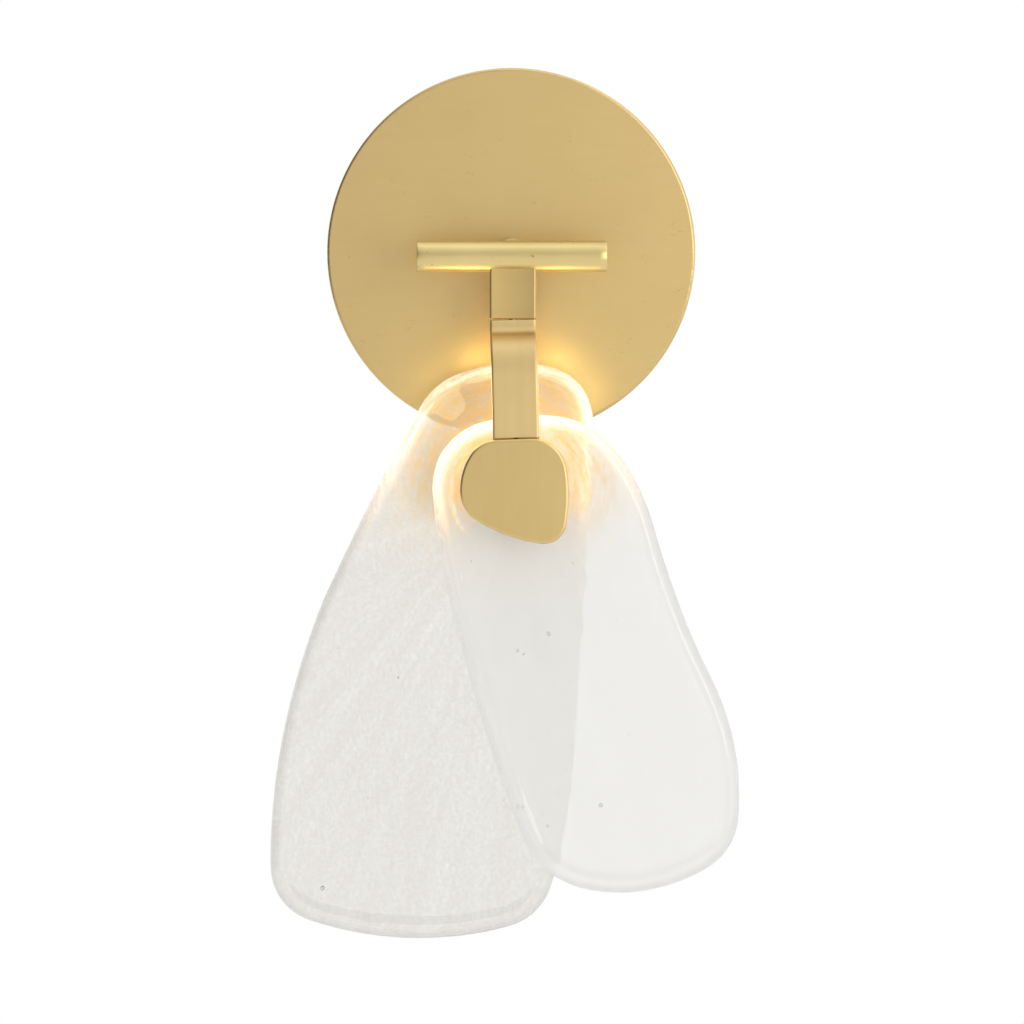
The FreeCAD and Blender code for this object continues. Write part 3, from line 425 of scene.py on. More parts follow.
@dataclass(frozen=True)
class CastGlass:
    """Clear cast glass with a milky heart, streaks drawn away from the hub and a painted glow
    at the rim.

    The petals store what the shader needs at each vertex: "tone" is how milky the glass is,
    with a painted shade along part of its rim, "scatter" the share of light that it scatters,
    "painted_warm_light" how strongly the ring's warm light is painted into its colour, "glow"
    how much painted glow it gives off though it is no lamp, and "fan" a position measured round
    and away from the hub.

    Attributes:
        name: Name of the material.
        clear: Tint where the glass is clear.
        milky: Tint where it is milky.
        warm: Tint of the painted warm light beside the light ring.
        roughness: Mean roughness of the skin.
        low_glow: Colour of weak painted glow at the rim.
        high_glow: Colour of strong painted glow at the rim.
        glow: Strength of that painted glow.
    """

    name: str = "cast_glass"
    clear: Colour = (0.985, 0.985, 0.975)
    milky: Colour = (0.800, 0.780, 0.735)
    warm: Colour = (0.97, 0.76, 0.44)
    roughness: float = 0.040
    low_glow: Colour = (1.00, 0.62, 0.25)
    high_glow: Colour = (1.00, 0.97, 0.86)
    glow: float = 0.85

    def build(self) -> bpy.types.Material:
        """Makes the material.

        Returns:
            The finished material.
        """
        shader = Shader(self.name)
        shader.set(IOR=1.50, Emission_Strength=self.glow)
        scatter = self.stored(shader, "scatter")
        shader.join(shader.span(scatter, 0.0, 1.0, 1.0, 0.0), 0, shader.surface,
                    "Transmission Weight")
        skin = shader.noise(0.010, (1.0, 1.0, 0.35), 4.0, 0.6)
        haze = shader.total(
            shader.span(skin, 0.35, 0.70, self.roughness * 0.5, self.roughness * 1.6),
            shader.span(scatter, 0.66, 0.80, 0.0, 0.14))
        shader.join(haze, 0, shader.surface, "Roughness")
        shader.bump(shader.noise(0.0045, (1.0, 1.0, 0.45), 3.0, 0.5), 0.00006)
        streak = self.fanned(shader, 0.0016, 3.0)
        broad = self.fanned(shader, 0.0085, 2.0)
        speckle = shader.noise(0.0022, (1.0, 1.0, 0.6), 4.0, 0.7)
        fleck = shader.noise(0.0013, (1.0, 1.0, 0.8), 2.0, 0.6)
        parts = shader.total(shader.span(streak, 0.3, 0.7, 0.0, 0.12),
                             shader.span(broad, 0.3, 0.7, 0.34, 0.58),
                             shader.span(speckle, 0.3, 0.7, 0.0, 0.40),
                             shader.span(fleck, 0.3, 0.7, 0.0, 0.56))
        tone = shader.product(self.stored(shader, "tone"), parts)
        tint = shader.blend(tone, self.clear, self.milky)
        # Painted warm light: the ring's warm light is painted into the glass's colour as an
        # amber tint in streaks, near the hub and towards the top.
        swirl = self.fanned(shader, 0.0016, 3.0, (0.05, 11.0, 1.0))
        warm_light_streaks = shader.total(shader.span(swirl, 0.40, 0.62, 0.15, 1.10),
                             shader.span(speckle, 0.42, 0.62, 0.0, 0.35))
        painted_warm_light = shader.product(self.stored(shader, "painted_warm_light"), warm_light_streaks)
        shader.paint(shader.blend(painted_warm_light, tint, self.warm))
        # Painted glow: emission at the rim, near the hub and along the crease stands in for the
        # ring's light carried through the glass.
        flare = shader.total(shader.span(swirl, 0.38, 0.62, 0.30, 0.85),
                             shader.span(speckle, 0.38, 0.62, 0.10, 0.40))
        light = shader.product(self.stored(shader, "glow"), flare)
        grade = shader.blend(shader.span(light, 0.10, 0.80), self.low_glow, self.high_glow)
        shader.join(shader.blend(light, BLACK, grade), 2, shader.surface, "Emission Color")
        return shader.material

    def stored(self, shader: Shader, name: str) -> bpy.types.Node:
        """A number stored at the vertices, as output 0."""
        attribute = shader.add("ShaderNodeAttribute", attribute_name=name)
        return shader.span(attribute, 0.0, 1.0, out="Fac")

    def fanned(self, shader: Shader, size: float, detail: float,
               stretch: Triple = UNIT) -> bpy.types.Node:
        """Noise in streaks that run away from the hub, or round it.

        Args:
            shader: The shader to add to.
            size: Width of the streaks, in metres, far from the hub.
            detail: Number of finer layers.
            stretch: Factor on the position round the hub, away from it and between petals.

        Returns:
            A noise node.
        """
        attribute = shader.add("ShaderNodeAttribute", attribute_name="fan")
        texture = shader.add("ShaderNodeTexNoise")
        texture.inputs["Scale"].default_value = 1.0 / size
        texture.inputs["Detail"].default_value = detail
        texture.inputs["Roughness"].default_value = 0.6
        mapping = shader.add("ShaderNodeMapping")
        mapping.inputs["Scale"].default_value = stretch
        shader.join(attribute, "Vector", mapping, "Vector")
        shader.join(mapping, "Vector", texture, "Vector")
        return texture


class Finishes:
    """Every finish of the sconce, each made once and when it is first asked for."""

    KINDS: tuple[Brass | Metal | Moulded | CastGlass, ...] = (
        Brass("canopy_brass", (0.700, 0.510, 0.210), (0.640, 0.455, 0.180), 0.38,
              Grain.LOOSE_SIDEWAYS, 0.0005, 0.000005, 0.25, clouds=0.30, mottle=0.18),
        Brass("bar_brass", (0.770, 0.615, 0.265), (0.690, 0.535, 0.215), 0.35,
              Grain.SIDEWAYS, 0.0004, 0.000003, 0.9),
        # The block's fade is a painted shade, darker towards its right-hand side.
        Brass("block_brass", (0.740, 0.525, 0.195), (0.650, 0.445, 0.160), 0.34,
              Grain.SIDEWAYS, 0.0005, 0.000008, fade=(-0.007, 0.009, 0.55)),
        Brass("strap_brass", (0.770, 0.570, 0.255), (0.690, 0.500, 0.210), 0.45,
              Grain.UPRIGHT, 0.0005, 0.000006),
        Brass("cap_brass", (0.730, 0.530, 0.215), (0.680, 0.485, 0.190), 0.34,
              Grain.LOOSE_UPRIGHT, 0.0004, 0.000005, clouds=0.4, mottle=0.3),
        Brass("hub_brass", (0.690, 0.520, 0.240), (0.600, 0.430, 0.180), 0.28,
              Grain.EVEN, 0.0006, 0.000005),
        Metal("zinc_steel", (0.62, 0.63, 0.64), (0.50, 0.52, 0.55)),
        Metal("core_aluminium", (0.80, 0.80, 0.81), (0.70, 0.70, 0.72), 0.30),
        Moulded("ground_green", (0.05, 0.30, 0.10), (0.03, 0.22, 0.07), 0.30),
        Moulded("driver_white", (0.80, 0.80, 0.77), (0.74, 0.74, 0.71), 0.45),
        Moulded("terminal_plastic", (0.80, 0.78, 0.70), (0.72, 0.70, 0.62), 0.40),
        Moulded("lead_black", (0.035, 0.035, 0.038), (0.05, 0.05, 0.05), 0.45),
        Moulded("lead_white", (0.78, 0.77, 0.73), (0.70, 0.69, 0.66), 0.45),
        Moulded("bush_nylon", (0.84, 0.82, 0.76), (0.78, 0.76, 0.69), 0.40, through=0.3),
        Moulded("silicone", (0.80, 0.79, 0.75), (0.74, 0.73, 0.69), 0.38, through=0.4),
        # The light board's glow is painted light: it stands in for the chips' light falling on
        # it.
        Moulded("strip_board", (0.86, 0.85, 0.80), (0.80, 0.79, 0.74), 0.50,
                glow=(0.50, 0.34, 0.14)),
        Moulded("chip_phosphor", (0.95, 0.74, 0.18), (0.90, 0.68, 0.14), 0.25,
                glow=(4.0, 2.9, 1.3)),
        Moulded("opal_plastic", (0.93, 0.90, 0.82), (0.90, 0.86, 0.77), 0.42,
                glow=(1.50, 1.10, 0.55)),
        CastGlass(),
    )

    def __init__(self) -> None:
        """Starts with no material made."""
        self.made: dict[str, bpy.types.Material] = {}

    def get(self, name: str) -> bpy.types.Material:
        """The material of a name.

        Args:
            name: Name of the finish.

        Returns:
            The material, made now if it wasn't before.
        """
        if name not in self.made:
            finish = next(kind for kind in self.KINDS if kind.name == name)
            self.made[name] = finish.build()
        return self.made[name]


# ---------------------------------------------------------------- mesh making


def soften(corners: Profile, radius: float, steps: int = 4, closed: bool = True) -> Profile:
    """Rounds the corners of a flat polygon.

    Args:
        corners: The polygon's corners.
        radius: Radius of each corner, held below half of the shorter side beside it.
        steps: Number of pieces in each rounded corner.
        closed: Whether the last corner joins the first; an open run keeps its two ends.

    Returns:
        The polygon with round corners.
    """
    rounded: Profile = []
    count = len(corners)
    for index, corner in enumerate(corners):
        if not closed and index in (0, count - 1):
            rounded.append(corner)
            continue
        here = Vector(corner)
        back = Vector(corners[index - 1]) - here
        onward = Vector(corners[(index + 1) % count]) - here
        half_turn = (math.pi - back.angle(onward)) / 2
        reach = min(radius * math.tan(half_turn), back.length * 0.45, onward.length * 0.45)
        start = here + back.normalized() * reach
        end = here + onward.normalized() * reach
        for step in range(steps + 1):
            t = step / steps
            point = start * (1 - t) ** 2 + here * (2 * t * (1 - t)) + end * t ** 2
            rounded.append((point.x, point.y))
    return rounded


def smooth_path(points: Sequence[Vector], steps: int = 8) -> list[Vector]:
    """A smooth line through points.

    Args:
        points: The points, in order.
        steps: Number of pieces between two points.

    Returns:
        Points along the line.
    """
    line: list[Vector] = []
    padded = [points[0] * 2 - points[1], *points, points[-1] * 2 - points[-2]]
    for a, b, c, d in zip(padded, padded[1:], padded[2:], padded[3:]):
        for step in range(steps):
            t = step / steps
            line.append(0.5 * (b * 2 + (c - a) * t + (a * 2 - b * 5 + c * 4 - d) * t ** 2
                               + (b * 3 - a - c * 3 + d) * t ** 3))
    line.append(points[-1].copy())
    return line


def ease(value: float, low: float, high: float) -> float:
    """Smooth step from 0 at low to 1 at high; low may be the larger."""
    t = min(max((value - low) / (high - low), 0.0), 1.0)
    return t * t * (3 - 2 * t)


def turns(count: int) -> list[float]:
    """Angles at even steps round a circle."""
    return [math.tau * step / count for step in range(count)]


def spokes(axis: Vector, side: Vector, count: int) -> list[Vector]:
    """A direction turned to even steps round an axis."""
    return [Matrix.Rotation(angle, 3, axis) @ side for angle in turns(count)]


def put(name: str, data: bpy.types.ID) -> bpy.types.Object:
    """Adds an object to the scene.

    Args:
        name: Name of the object.
        data: Its mesh, lamp or camera.

    Returns:
        The new object.
    """
    thing = bpy.data.objects.new(name, data)
    bpy.context.scene.collection.objects.link(thing)
    return thing


class Skin:
    """Vertices and faces of one piece while it is made."""

    def __init__(self) -> None:
        """Starts with nothing."""
        self.points: list[Vector] = []
        self.faces: list[tuple[int, ...]] = []

    def loop(self, points: Iterable[Vector]) -> list[int]:
        """Adds points.

        Args:
            points: The points.

        Returns:
            Their numbers.
        """
        start = len(self.points)
        self.points.extend(points)
        return list(range(start, len(self.points)))

    def bridge(self, first: Sequence[int], second: Sequence[int]) -> None:
        """Joins two closed loops with a band of four-sided faces.

        Args:
            first: Vertex numbers of one loop.
            second: As many vertex numbers of the other.
        """
        count = len(first)
        for index in range(count):
            after = (index + 1) % count
            self.faces.append((first[index], first[after], second[after], second[index]))

    def stack(self, loops: Sequence[Sequence[int]], ring: bool = False,
              caps: bool = False) -> None:
        """Bridges closed loops one after another.

        Args:
            loops: Vertex numbers of each loop.
            ring: Whether the last loop is bridged to the first.
            caps: Whether the first and last loops are filled.
        """
        for first, second in zip(loops, loops[1:]):
            self.bridge(first, second)
        if ring:
            self.bridge(loops[-1], loops[0])
        if caps:
            self.close(loops[0])
            self.close(loops[-1])

    def close(self, loop: Sequence[int]) -> None:
        """Fills a closed loop with a fan round its middle.

        Args:
            loop: Vertex numbers of the loop.
        """
        middle = sum((self.points[index] for index in loop), Vector()) / len(loop)
        centre = self.loop([middle])[0]
        for index, number in enumerate(loop):
            self.faces.append((number, loop[(index + 1) % len(loop)], centre))

    def turned(self, profile: Profile, origin: Vector, axis: Vector, segments: int = 72,
               open_ends: bool = False) -> None:
        """Turns a profile about an axis.

        Args:
            profile: Pairs of radius and distance along the axis. A closed ring, unless
                open_ends is set, when its two ends are filled with fans.
            origin: Point on the axis.
            axis: Direction of the axis.
            segments: Number of steps round.
            open_ends: Whether the profile is an open run from one end face to the other.
        """
        side = axis.orthogonal().normalized()
        turn = Matrix.Rotation(math.tau / segments, 3, axis)
        around: list[Vector] = []
        for _ in range(segments):
            around.append(side.copy())
            side = turn @ side
        loops = [self.loop(origin + axis * along + spoke * radius for spoke in around)
                 for radius, along in profile]
        self.stack(loops, ring=not open_ends, caps=open_ends)

    def ring(self, outer: float, inner: float, length: float, origin: Vector, axis: Vector,
             edge: float = 0.0003, segments: int = 72) -> None:
        """A ring with softened edges that stands on origin and goes along axis."""
        box = [(inner, 0.0), (outer, 0.0), (outer, length), (inner, length)]
        self.turned(soften(box, edge, 3), origin, axis, segments)

    def rod(self, radius: float, length: float, origin: Vector, axis: Vector,
            edge: float = 0.0003, segments: int = 64) -> None:
        """A round rod with softened edges that stands on origin and goes along axis."""
        run = [(radius * 0.5, 0.0), (radius, 0.0), (radius, length), (radius * 0.5, length)]
        self.turned(soften(run, edge, 3, closed=False), origin, axis, segments, open_ends=True)

    def threaded(self, radius: float, pitch: float, depth: float, length: float,
                 origin: Vector, axis: Vector, bore: float = 0.0, segments: int = 40) -> None:
        """A rod or tube with a screw thread on its outside.

        Args:
            radius: Radius over the crests.
            pitch: Distance from crest to crest.
            depth: Depth of the thread.
            length: Length along the axis.
            origin: Middle of the first end.
            axis: Direction of the rod.
            bore: Radius of the hole through it, or 0 for none.
            segments: Number of steps round.
        """
        around = spokes(axis, axis.orthogonal().normalized(), segments)
        rows = max(int(length / pitch * 6), 4)
        loops: list[list[int]] = []
        for row in range(rows + 1):
            along = length * row / rows
            fade = min(along, length - along, pitch) / pitch
            ring: list[Vector] = []
            for step, spoke in enumerate(around):
                phase = (along / pitch - step / segments) % 1.0
                drop = depth * (1 - fade * (1 - abs(2 * phase - 1)))
                ring.append(origin + axis * along + spoke * (radius - drop))
            loops.append(self.loop(ring))
        self.stack(loops, caps=bore <= 0)
        if bore > 0:
            near, far = (self.loop(origin + axis * along + spoke * bore for spoke in around)
                         for along in (0.0, length))
            self.bridge(loops[0], near)
            self.bridge(loops[-1], far)
            self.bridge(near, far)

    def hexagon(self, flats: float, length: float, bore: float, origin: Vector,
                axis: Vector) -> None:
        """A chamfered hexagon nut.

        Args:
            flats: Distance across the flats.
            length: Height of the nut.
            bore: Radius of its hole.
            origin: Middle of the face it stands on.
            axis: Direction from that face to the other.
        """
        side = (RIGHT - axis * RIGHT.dot(axis)).normalized()
        segments = 48
        around = spokes(axis, side, segments)
        inner = flats / 2
        chamfer = length * 0.14
        heights = ((0.0, True), (chamfer, False), (length - chamfer, False), (length, True))
        loops: list[list[int]] = []
        for along, trimmed in heights:
            ring: list[Vector] = []
            for angle, spoke in zip(turns(segments), around):
                radius = inner / math.cos(angle % (math.pi / 3) - math.pi / 6)
                if trimmed:
                    radius = min(radius, inner * 1.01)
                ring.append(origin + axis * along + spoke * radius)
            loops.append(self.loop(ring))
        lip = min(bore * 0.12, 0.0004)
        for along, radius in ((length, bore + lip), (length - lip, bore), (lip, bore),
                              (0.0, bore + lip)):
            loops.append(self.loop(origin + axis * along + spoke * radius for spoke in around))
        self.stack(loops, ring=True)

    def block(self, low: Vector, high: Vector, edge: float, steps: int = 3) -> None:
        """A box with rounded edges.

        Args:
            low: Its lowest corner.
            high: Its highest corner.
            edge: Radius of its edges.
            steps: Number of steps in each rounded edge.
        """
        mesh = bmesh.new()
        bmesh.ops.create_cube(mesh, size=1.0)
        for vertex in mesh.verts:
            vertex.co = Vector(low[axis] if vertex.co[axis] < 0 else high[axis]
                               for axis in range(3))
        bmesh.ops.bevel(mesh, geom=mesh.edges[:], offset=edge, segments=steps, profile=0.5,
                        affect="EDGES")
        self.append(mesh)
        mesh.free()

    def append(self, mesh: bmesh.types.BMesh) -> None:
        """Copies a mesh into this one.

        Args:
            mesh: The mesh to copy.
        """
        mesh.verts.index_update()
        start = len(self.points)
        self.points.extend(vertex.co.copy() for vertex in mesh.verts)
        for face in mesh.faces:
            self.faces.append(tuple(start + vertex.index for vertex in face.verts))

    def tube(self, path: Sequence[Vector], radius: float, sides: int = 18) -> None:
        """A round lead along a path, with softly rounded ends.

        Args:
            path: Points of its centre line.
            radius: Its radius.
            sides: Number of steps round.
        """
        heading = (path[1] - path[0]).normalized()
        side = heading.orthogonal().normalized()
        rings: list[tuple[Vector, Vector, Vector, float]] = []
        for index, point in enumerate(path):
            before, after = path[max(index - 1, 0)], path[min(index + 1, len(path) - 1)]
            heading = (after - before).normalized()
            side = (side - heading * side.dot(heading)).normalized()
            rings.append((point, side.copy(), heading.cross(side), radius))
        first, last = rings[0], rings[-1]
        rings.insert(0, (first[0], first[1], first[2], radius * 0.7))
        rings.append((last[0], last[1], last[2], radius * 0.7))
        loops = []
        for point, across, along, size in rings:
            loops.append(self.loop(point + (across * math.cos(angle) + along * math.sin(angle))
                                   * size for angle in turns(sides)))
        self.stack(loops, caps=True)

    def finish(self, name: str, material: bpy.types.Material, sharp: float = CRISP,
               values: dict[str, list[float]] | None = None) -> bpy.types.Object:
        """Makes the object.

        Args:
            name: Name of the piece.
            material: Its finish.
            sharp: Edges that turn by more than this many degrees stay crisp.
            values: Numbers to store at each vertex, by name; one or three each.

        Returns:
            The new object.
        """
        mesh = bpy.data.meshes.new(name)
        mesh.from_pydata([tuple(point) for point in self.points], [], self.faces)
        work = bmesh.new()
        work.from_mesh(mesh)
        bmesh.ops.recalc_face_normals(work, faces=work.faces[:])
        work.to_mesh(mesh)
        work.free()
        for key, numbers in (values or {}).items():
            single = len(numbers) == len(self.points)
            attribute = mesh.attributes.new(key, "FLOAT" if single else "FLOAT_VECTOR", "POINT")
            attribute.data.foreach_set("value" if single else "vector", numbers)
        mesh.shade_smooth()
        mesh.set_sharp_from_angle(angle=math.radians(sharp))
        mesh.materials.append(material)
        return put(name, mesh)


# ---------------------------------------------------------------- sub-assemblies


@dataclass
class Assembly:
    """A group of pieces that knows the finishes and how to hand its pieces to the frame.

    Attributes:
        finishes: The sconce's finishes.
    """

    finishes: Finishes

    def dress(self, node: str, finish: str) -> None:
        """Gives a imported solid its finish.

        Args:
            node: Name of the solid.
            finish: Name of its finish.
        """
        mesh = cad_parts[node].data
        mesh.materials.clear()
        mesh.materials.append(self.finishes.get(finish))
        LOG.info("dressed %s in %s", node, finish)

    def add(self, skin: Skin, name: str, finish: str, slot: str, nodes: Sequence[str] = (),
            body: str = ROOT, sharp: float = CRISP,
            values: dict[str, list[float]] | None = None) -> bpy.types.Object:
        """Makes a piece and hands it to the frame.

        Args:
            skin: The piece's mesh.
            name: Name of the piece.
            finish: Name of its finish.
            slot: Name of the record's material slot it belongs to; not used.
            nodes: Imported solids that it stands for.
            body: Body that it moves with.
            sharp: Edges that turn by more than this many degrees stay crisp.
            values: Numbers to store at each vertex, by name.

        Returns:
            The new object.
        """
        piece = skin.finish(name, self.finishes.get(finish), sharp, values)
        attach(piece, body)
        if nodes:
            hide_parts(*nodes)
        LOG.info("built %s: %d faces", name, len(skin.faces))
        return piece


class Box:
    """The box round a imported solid, with the measures of a piece that is turned about +Y.

    Attributes:
        low: Its lowest corner.
        high: Its highest corner.
        centre: Its middle.
        radius: Half its width.
        length: Its depth along +Y.
        back: The middle of its wall side.
    """

    def __init__(self, node: str) -> None:
        """Reads the box from the frame.

        Args:
            node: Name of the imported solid.
        """
        low, high = (Vector(corner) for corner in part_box(node))
        self.low, self.high = low, high
        self.centre = (low + high) / 2
        self.radius = (high.x - low.x) / 2
        self.length = high.y - low.y
        self.back = Vector(((low.x + high.x) / 2, high.y, (low.z + high.z) / 2))


@dataclass
class Canopy(Assembly):
    """The round pan on the wall and the grub screws in its rim.

    Attributes:
        screw_radius: Radius of the screws over their threads.
        screw_length: Length of the screws.
        pitch: Pitch of their threads.
        thread: Depth of their threads.
        head: Length of the plain end with the socket.
        socket_radius: Radius of that socket.
    """

    screw_radius: float = 0.0020
    screw_length: float = 0.0050
    pitch: float = 0.0007
    thread: float = 0.00028
    head: float = 0.0004
    socket_radius: float = 0.0011

    def build(self) -> None:
        """Dresses the pan and makes the screws."""
        self.dress("canopy", "canopy_brass")
        box = Box("canopy_side_screws")
        skin = Skin()
        for axis, x in ((-RIGHT, box.low.x), (RIGHT, box.high.x)):
            tip = Vector((x, box.centre.y, box.centre.z))
            skin.threaded(self.screw_radius, self.pitch, self.thread,
                          self.screw_length - self.head, tip - axis * self.screw_length, axis)
            self.socket(skin, tip - axis * self.head, axis)
        self.add(skin, "grub_screws", "hub_brass", "screw_brass", ["canopy_side_screws"])

    def socket(self, skin: Skin, base: Vector, axis: Vector) -> None:
        """The outer end of a grub screw, with its socket.

        Args:
            skin: The mesh to add to.
            base: Middle of the end's inner side.
            axis: Direction out of the screw.
        """
        run = [(self.screw_radius * 0.9, 0.0), (self.screw_radius * 0.9, 0.00035),
               (self.screw_radius * 0.75, self.head), (self.socket_radius, self.head),
               (self.socket_radius, -0.0002)]
        skin.turned(run, base, axis, 36, open_ends=True)


@dataclass
class WallHardware(Assembly):
    """What the canopy hides: crossbar, screws, driver, terminals and leads."""

    def build(self) -> None:
        """Builds every piece."""
        self.dress("crossbar", "zinc_steel")
        self.earth_screw()
        self.driver()
        self.driver_nuts()
        self.terminals()
        self.leads()

    def earth_screw(self) -> None:
        """Pan-head earth screw with a small recess, through the crossbar's gauge."""
        box = Box("ground_screw")
        radius, centre, gauge = box.radius, box.centre, 0.0016
        skin = Skin()
        dome = [(radius, 0.0), (radius, 0.0007), (radius * 0.92, 0.0013),
                (radius * 0.72, 0.0018), (radius * 0.40, 0.0021), (radius * 0.16, 0.0021),
                (radius * 0.14, 0.0012)]
        skin.turned(dome, Vector((centre.x, -gauge, centre.z)), OUTWARD, 48, open_ends=True)
        skin.threaded(0.0020, 0.0007, 0.0003, gauge, Vector((centre.x, 0.0, centre.z)),
                      OUTWARD)
        self.add(skin, "earth_screw", "ground_green", "ground_green", ["ground_screw"])

    def driver(self) -> None:
        """Driver case with a lid seam, cooling ribs and two flanges."""
        box = Box("led_driver")
        low, high = box.low, box.high
        flange, rib, lid, gap, corner = 0.0090, 0.0006, 0.0040, 0.0003, 0.0012
        rib_start, rib_pitch, rib_width, rib_margin = 0.0080, 0.0060, 0.0024, 0.0050
        recess, neck = 0.0004, 0.0006
        top = high.y - rib
        seam = top - lid
        skin = Skin()
        left, right = low.x + flange, high.x - flange
        skin.block(Vector((left, low.y, low.z)), Vector((right, seam - gap, high.z)), corner)
        skin.block(Vector((left + recess, seam - neck, low.z + recess)),
                   Vector((right - recess, seam + neck, high.z - recess)), 0.0001, 1)
        skin.block(Vector((left, seam + gap, low.z)), Vector((right, top, high.z)), corner)
        for number in range(9):
            x = left + rib_start + number * rib_pitch
            skin.block(Vector((x, top - rib, low.z + rib_margin)),
                       Vector((x + rib_width, high.y, high.z - rib_margin)), 0.0004, 2)
        for side in (-1, 1):
            self.flange(skin, side, box, flange)
        self.add(skin, "driver_case", "driver_white", "driver_white", ["led_driver"])

    def flange(self, skin: Skin, side: int, box: Box, length: float) -> None:
        """One mounting flange, a plate with a round end and a hole for its stud.

        Args:
            skin: The mesh to add to.
            side: -1 for the left flange and 1 for the right one.
            box: The driver's box.
            length: Length of the flange.
        """
        low, high, middle = box.low, box.high, box.centre.z
        gauge, bore, end, bulge, tiny = 0.0015, 0.0016, 0.0050, 0.0016, 1e-6
        inner = high.x - length if side > 0 else low.x + length
        stud = inner + side * length / 2
        half = (high.z - low.z) / 4
        hole: list[Vector] = []
        rim: list[Vector] = []
        for angle in turns(48):
            u, w = math.cos(angle), math.sin(angle)
            reach = min(length / 2 / max(abs(u), tiny), half / max(abs(w), tiny))
            if u * side > 0:
                reach = min(reach, end + bulge * abs(w))
            hole.append(Vector((stud + u * bore, 0.0, middle + w * bore)))
            rim.append(Vector((stud + u * reach, 0.0, middle + w * reach)))
        near, far = low.y, low.y + gauge
        loops = [skin.loop(Vector((p.x, y, p.z)) for p in ring)
                 for ring, y in ((hole, near), (rim, near), (rim, far), (hole, far))]
        skin.stack(loops, ring=True)

    def driver_nuts(self) -> None:
        """Chamfered nuts on the driver studs."""
        box = Box("driver_nuts")
        flats, to_corner, bore = 0.0055, 0.00318, 0.0015
        skin = Skin()
        for x in (box.low.x + to_corner, box.high.x - to_corner):
            skin.hexagon(flats, box.length, bore, Vector((x, box.back.y, box.back.z)), OUTWARD)
        self.add(skin, "driver_stud_nuts", "zinc_steel", "zinc_steel", ["driver_nuts"])

    def terminals(self) -> None:
        """Three-pole terminal block with screw wells and wire mouths."""
        box = Box("terminal_block")
        low, high = box.low, box.high
        third = (high.x - low.x) / 3
        lip, inset = 0.0002, 0.0035
        mouth_z, well_y = low.z + 0.0008, high.y - 0.0010
        skin = Skin()
        screws = Skin()
        for pole in range(3):
            left = low.x + third * pole
            skin.block(Vector((left + 0.0003, low.y, mouth_z)),
                       Vector((left + third - 0.0003, well_y, high.z)), 0.0009)
            middle_x = left + third / 2
            for z in (mouth_z + inset, high.z - inset):
                well = Vector((middle_x, well_y - lip, z))
                skin.ring(0.0031, 0.0022, 0.0012, well, INWARD, lip, 40)
                screws.rod(0.0021, 0.0007, well, INWARD, lip, 32)
            mouth = Vector((middle_x, (low.y + high.y) / 2, mouth_z + lip))
            skin.ring(0.0028, 0.0015, 0.0010, mouth, DOWN, lip, 40)
        skin.block(Vector((low.x + 0.001, well_y - 0.004, mouth_z + 0.002)),
                   Vector((high.x - 0.001, well_y - lip, high.z - 0.002)), 0.0004, 2)
        self.add(skin, "terminal_case", "terminal_plastic", "terminal_plastic",
                 ["terminal_block"])
        self.add(screws, "terminal_screws", "zinc_steel", "zinc_steel")

    def leads(self) -> None:
        """Two soft leads from the terminals to the driver."""
        box = Box("mains_leads")
        low, high, radius = box.low, box.high, 0.0009
        y = (low.y + high.y) / 2
        for number, (x, finish) in enumerate(((low.x + radius, "lead_white"),
                                              (high.x - radius, "lead_black"))):
            sway = 0.0012 if number else -0.0012
            points = [Vector((x, y, low.z)), Vector((x, y, low.z + 0.006)),
                      Vector((x + sway, y + 0.001, low.z + 0.020)),
                      Vector((x + sway * 0.2, y - 0.0012, low.z + 0.038)),
                      Vector((x, y, high.z - 0.006)), Vector((x, y, high.z))]
            skin = Skin()
            skin.tube(smooth_path(points), radius)
            self.add(skin, f"mains_lead_{number + 1}", finish, "lead_rubber",
                     ["mains_leads"] if number else ())


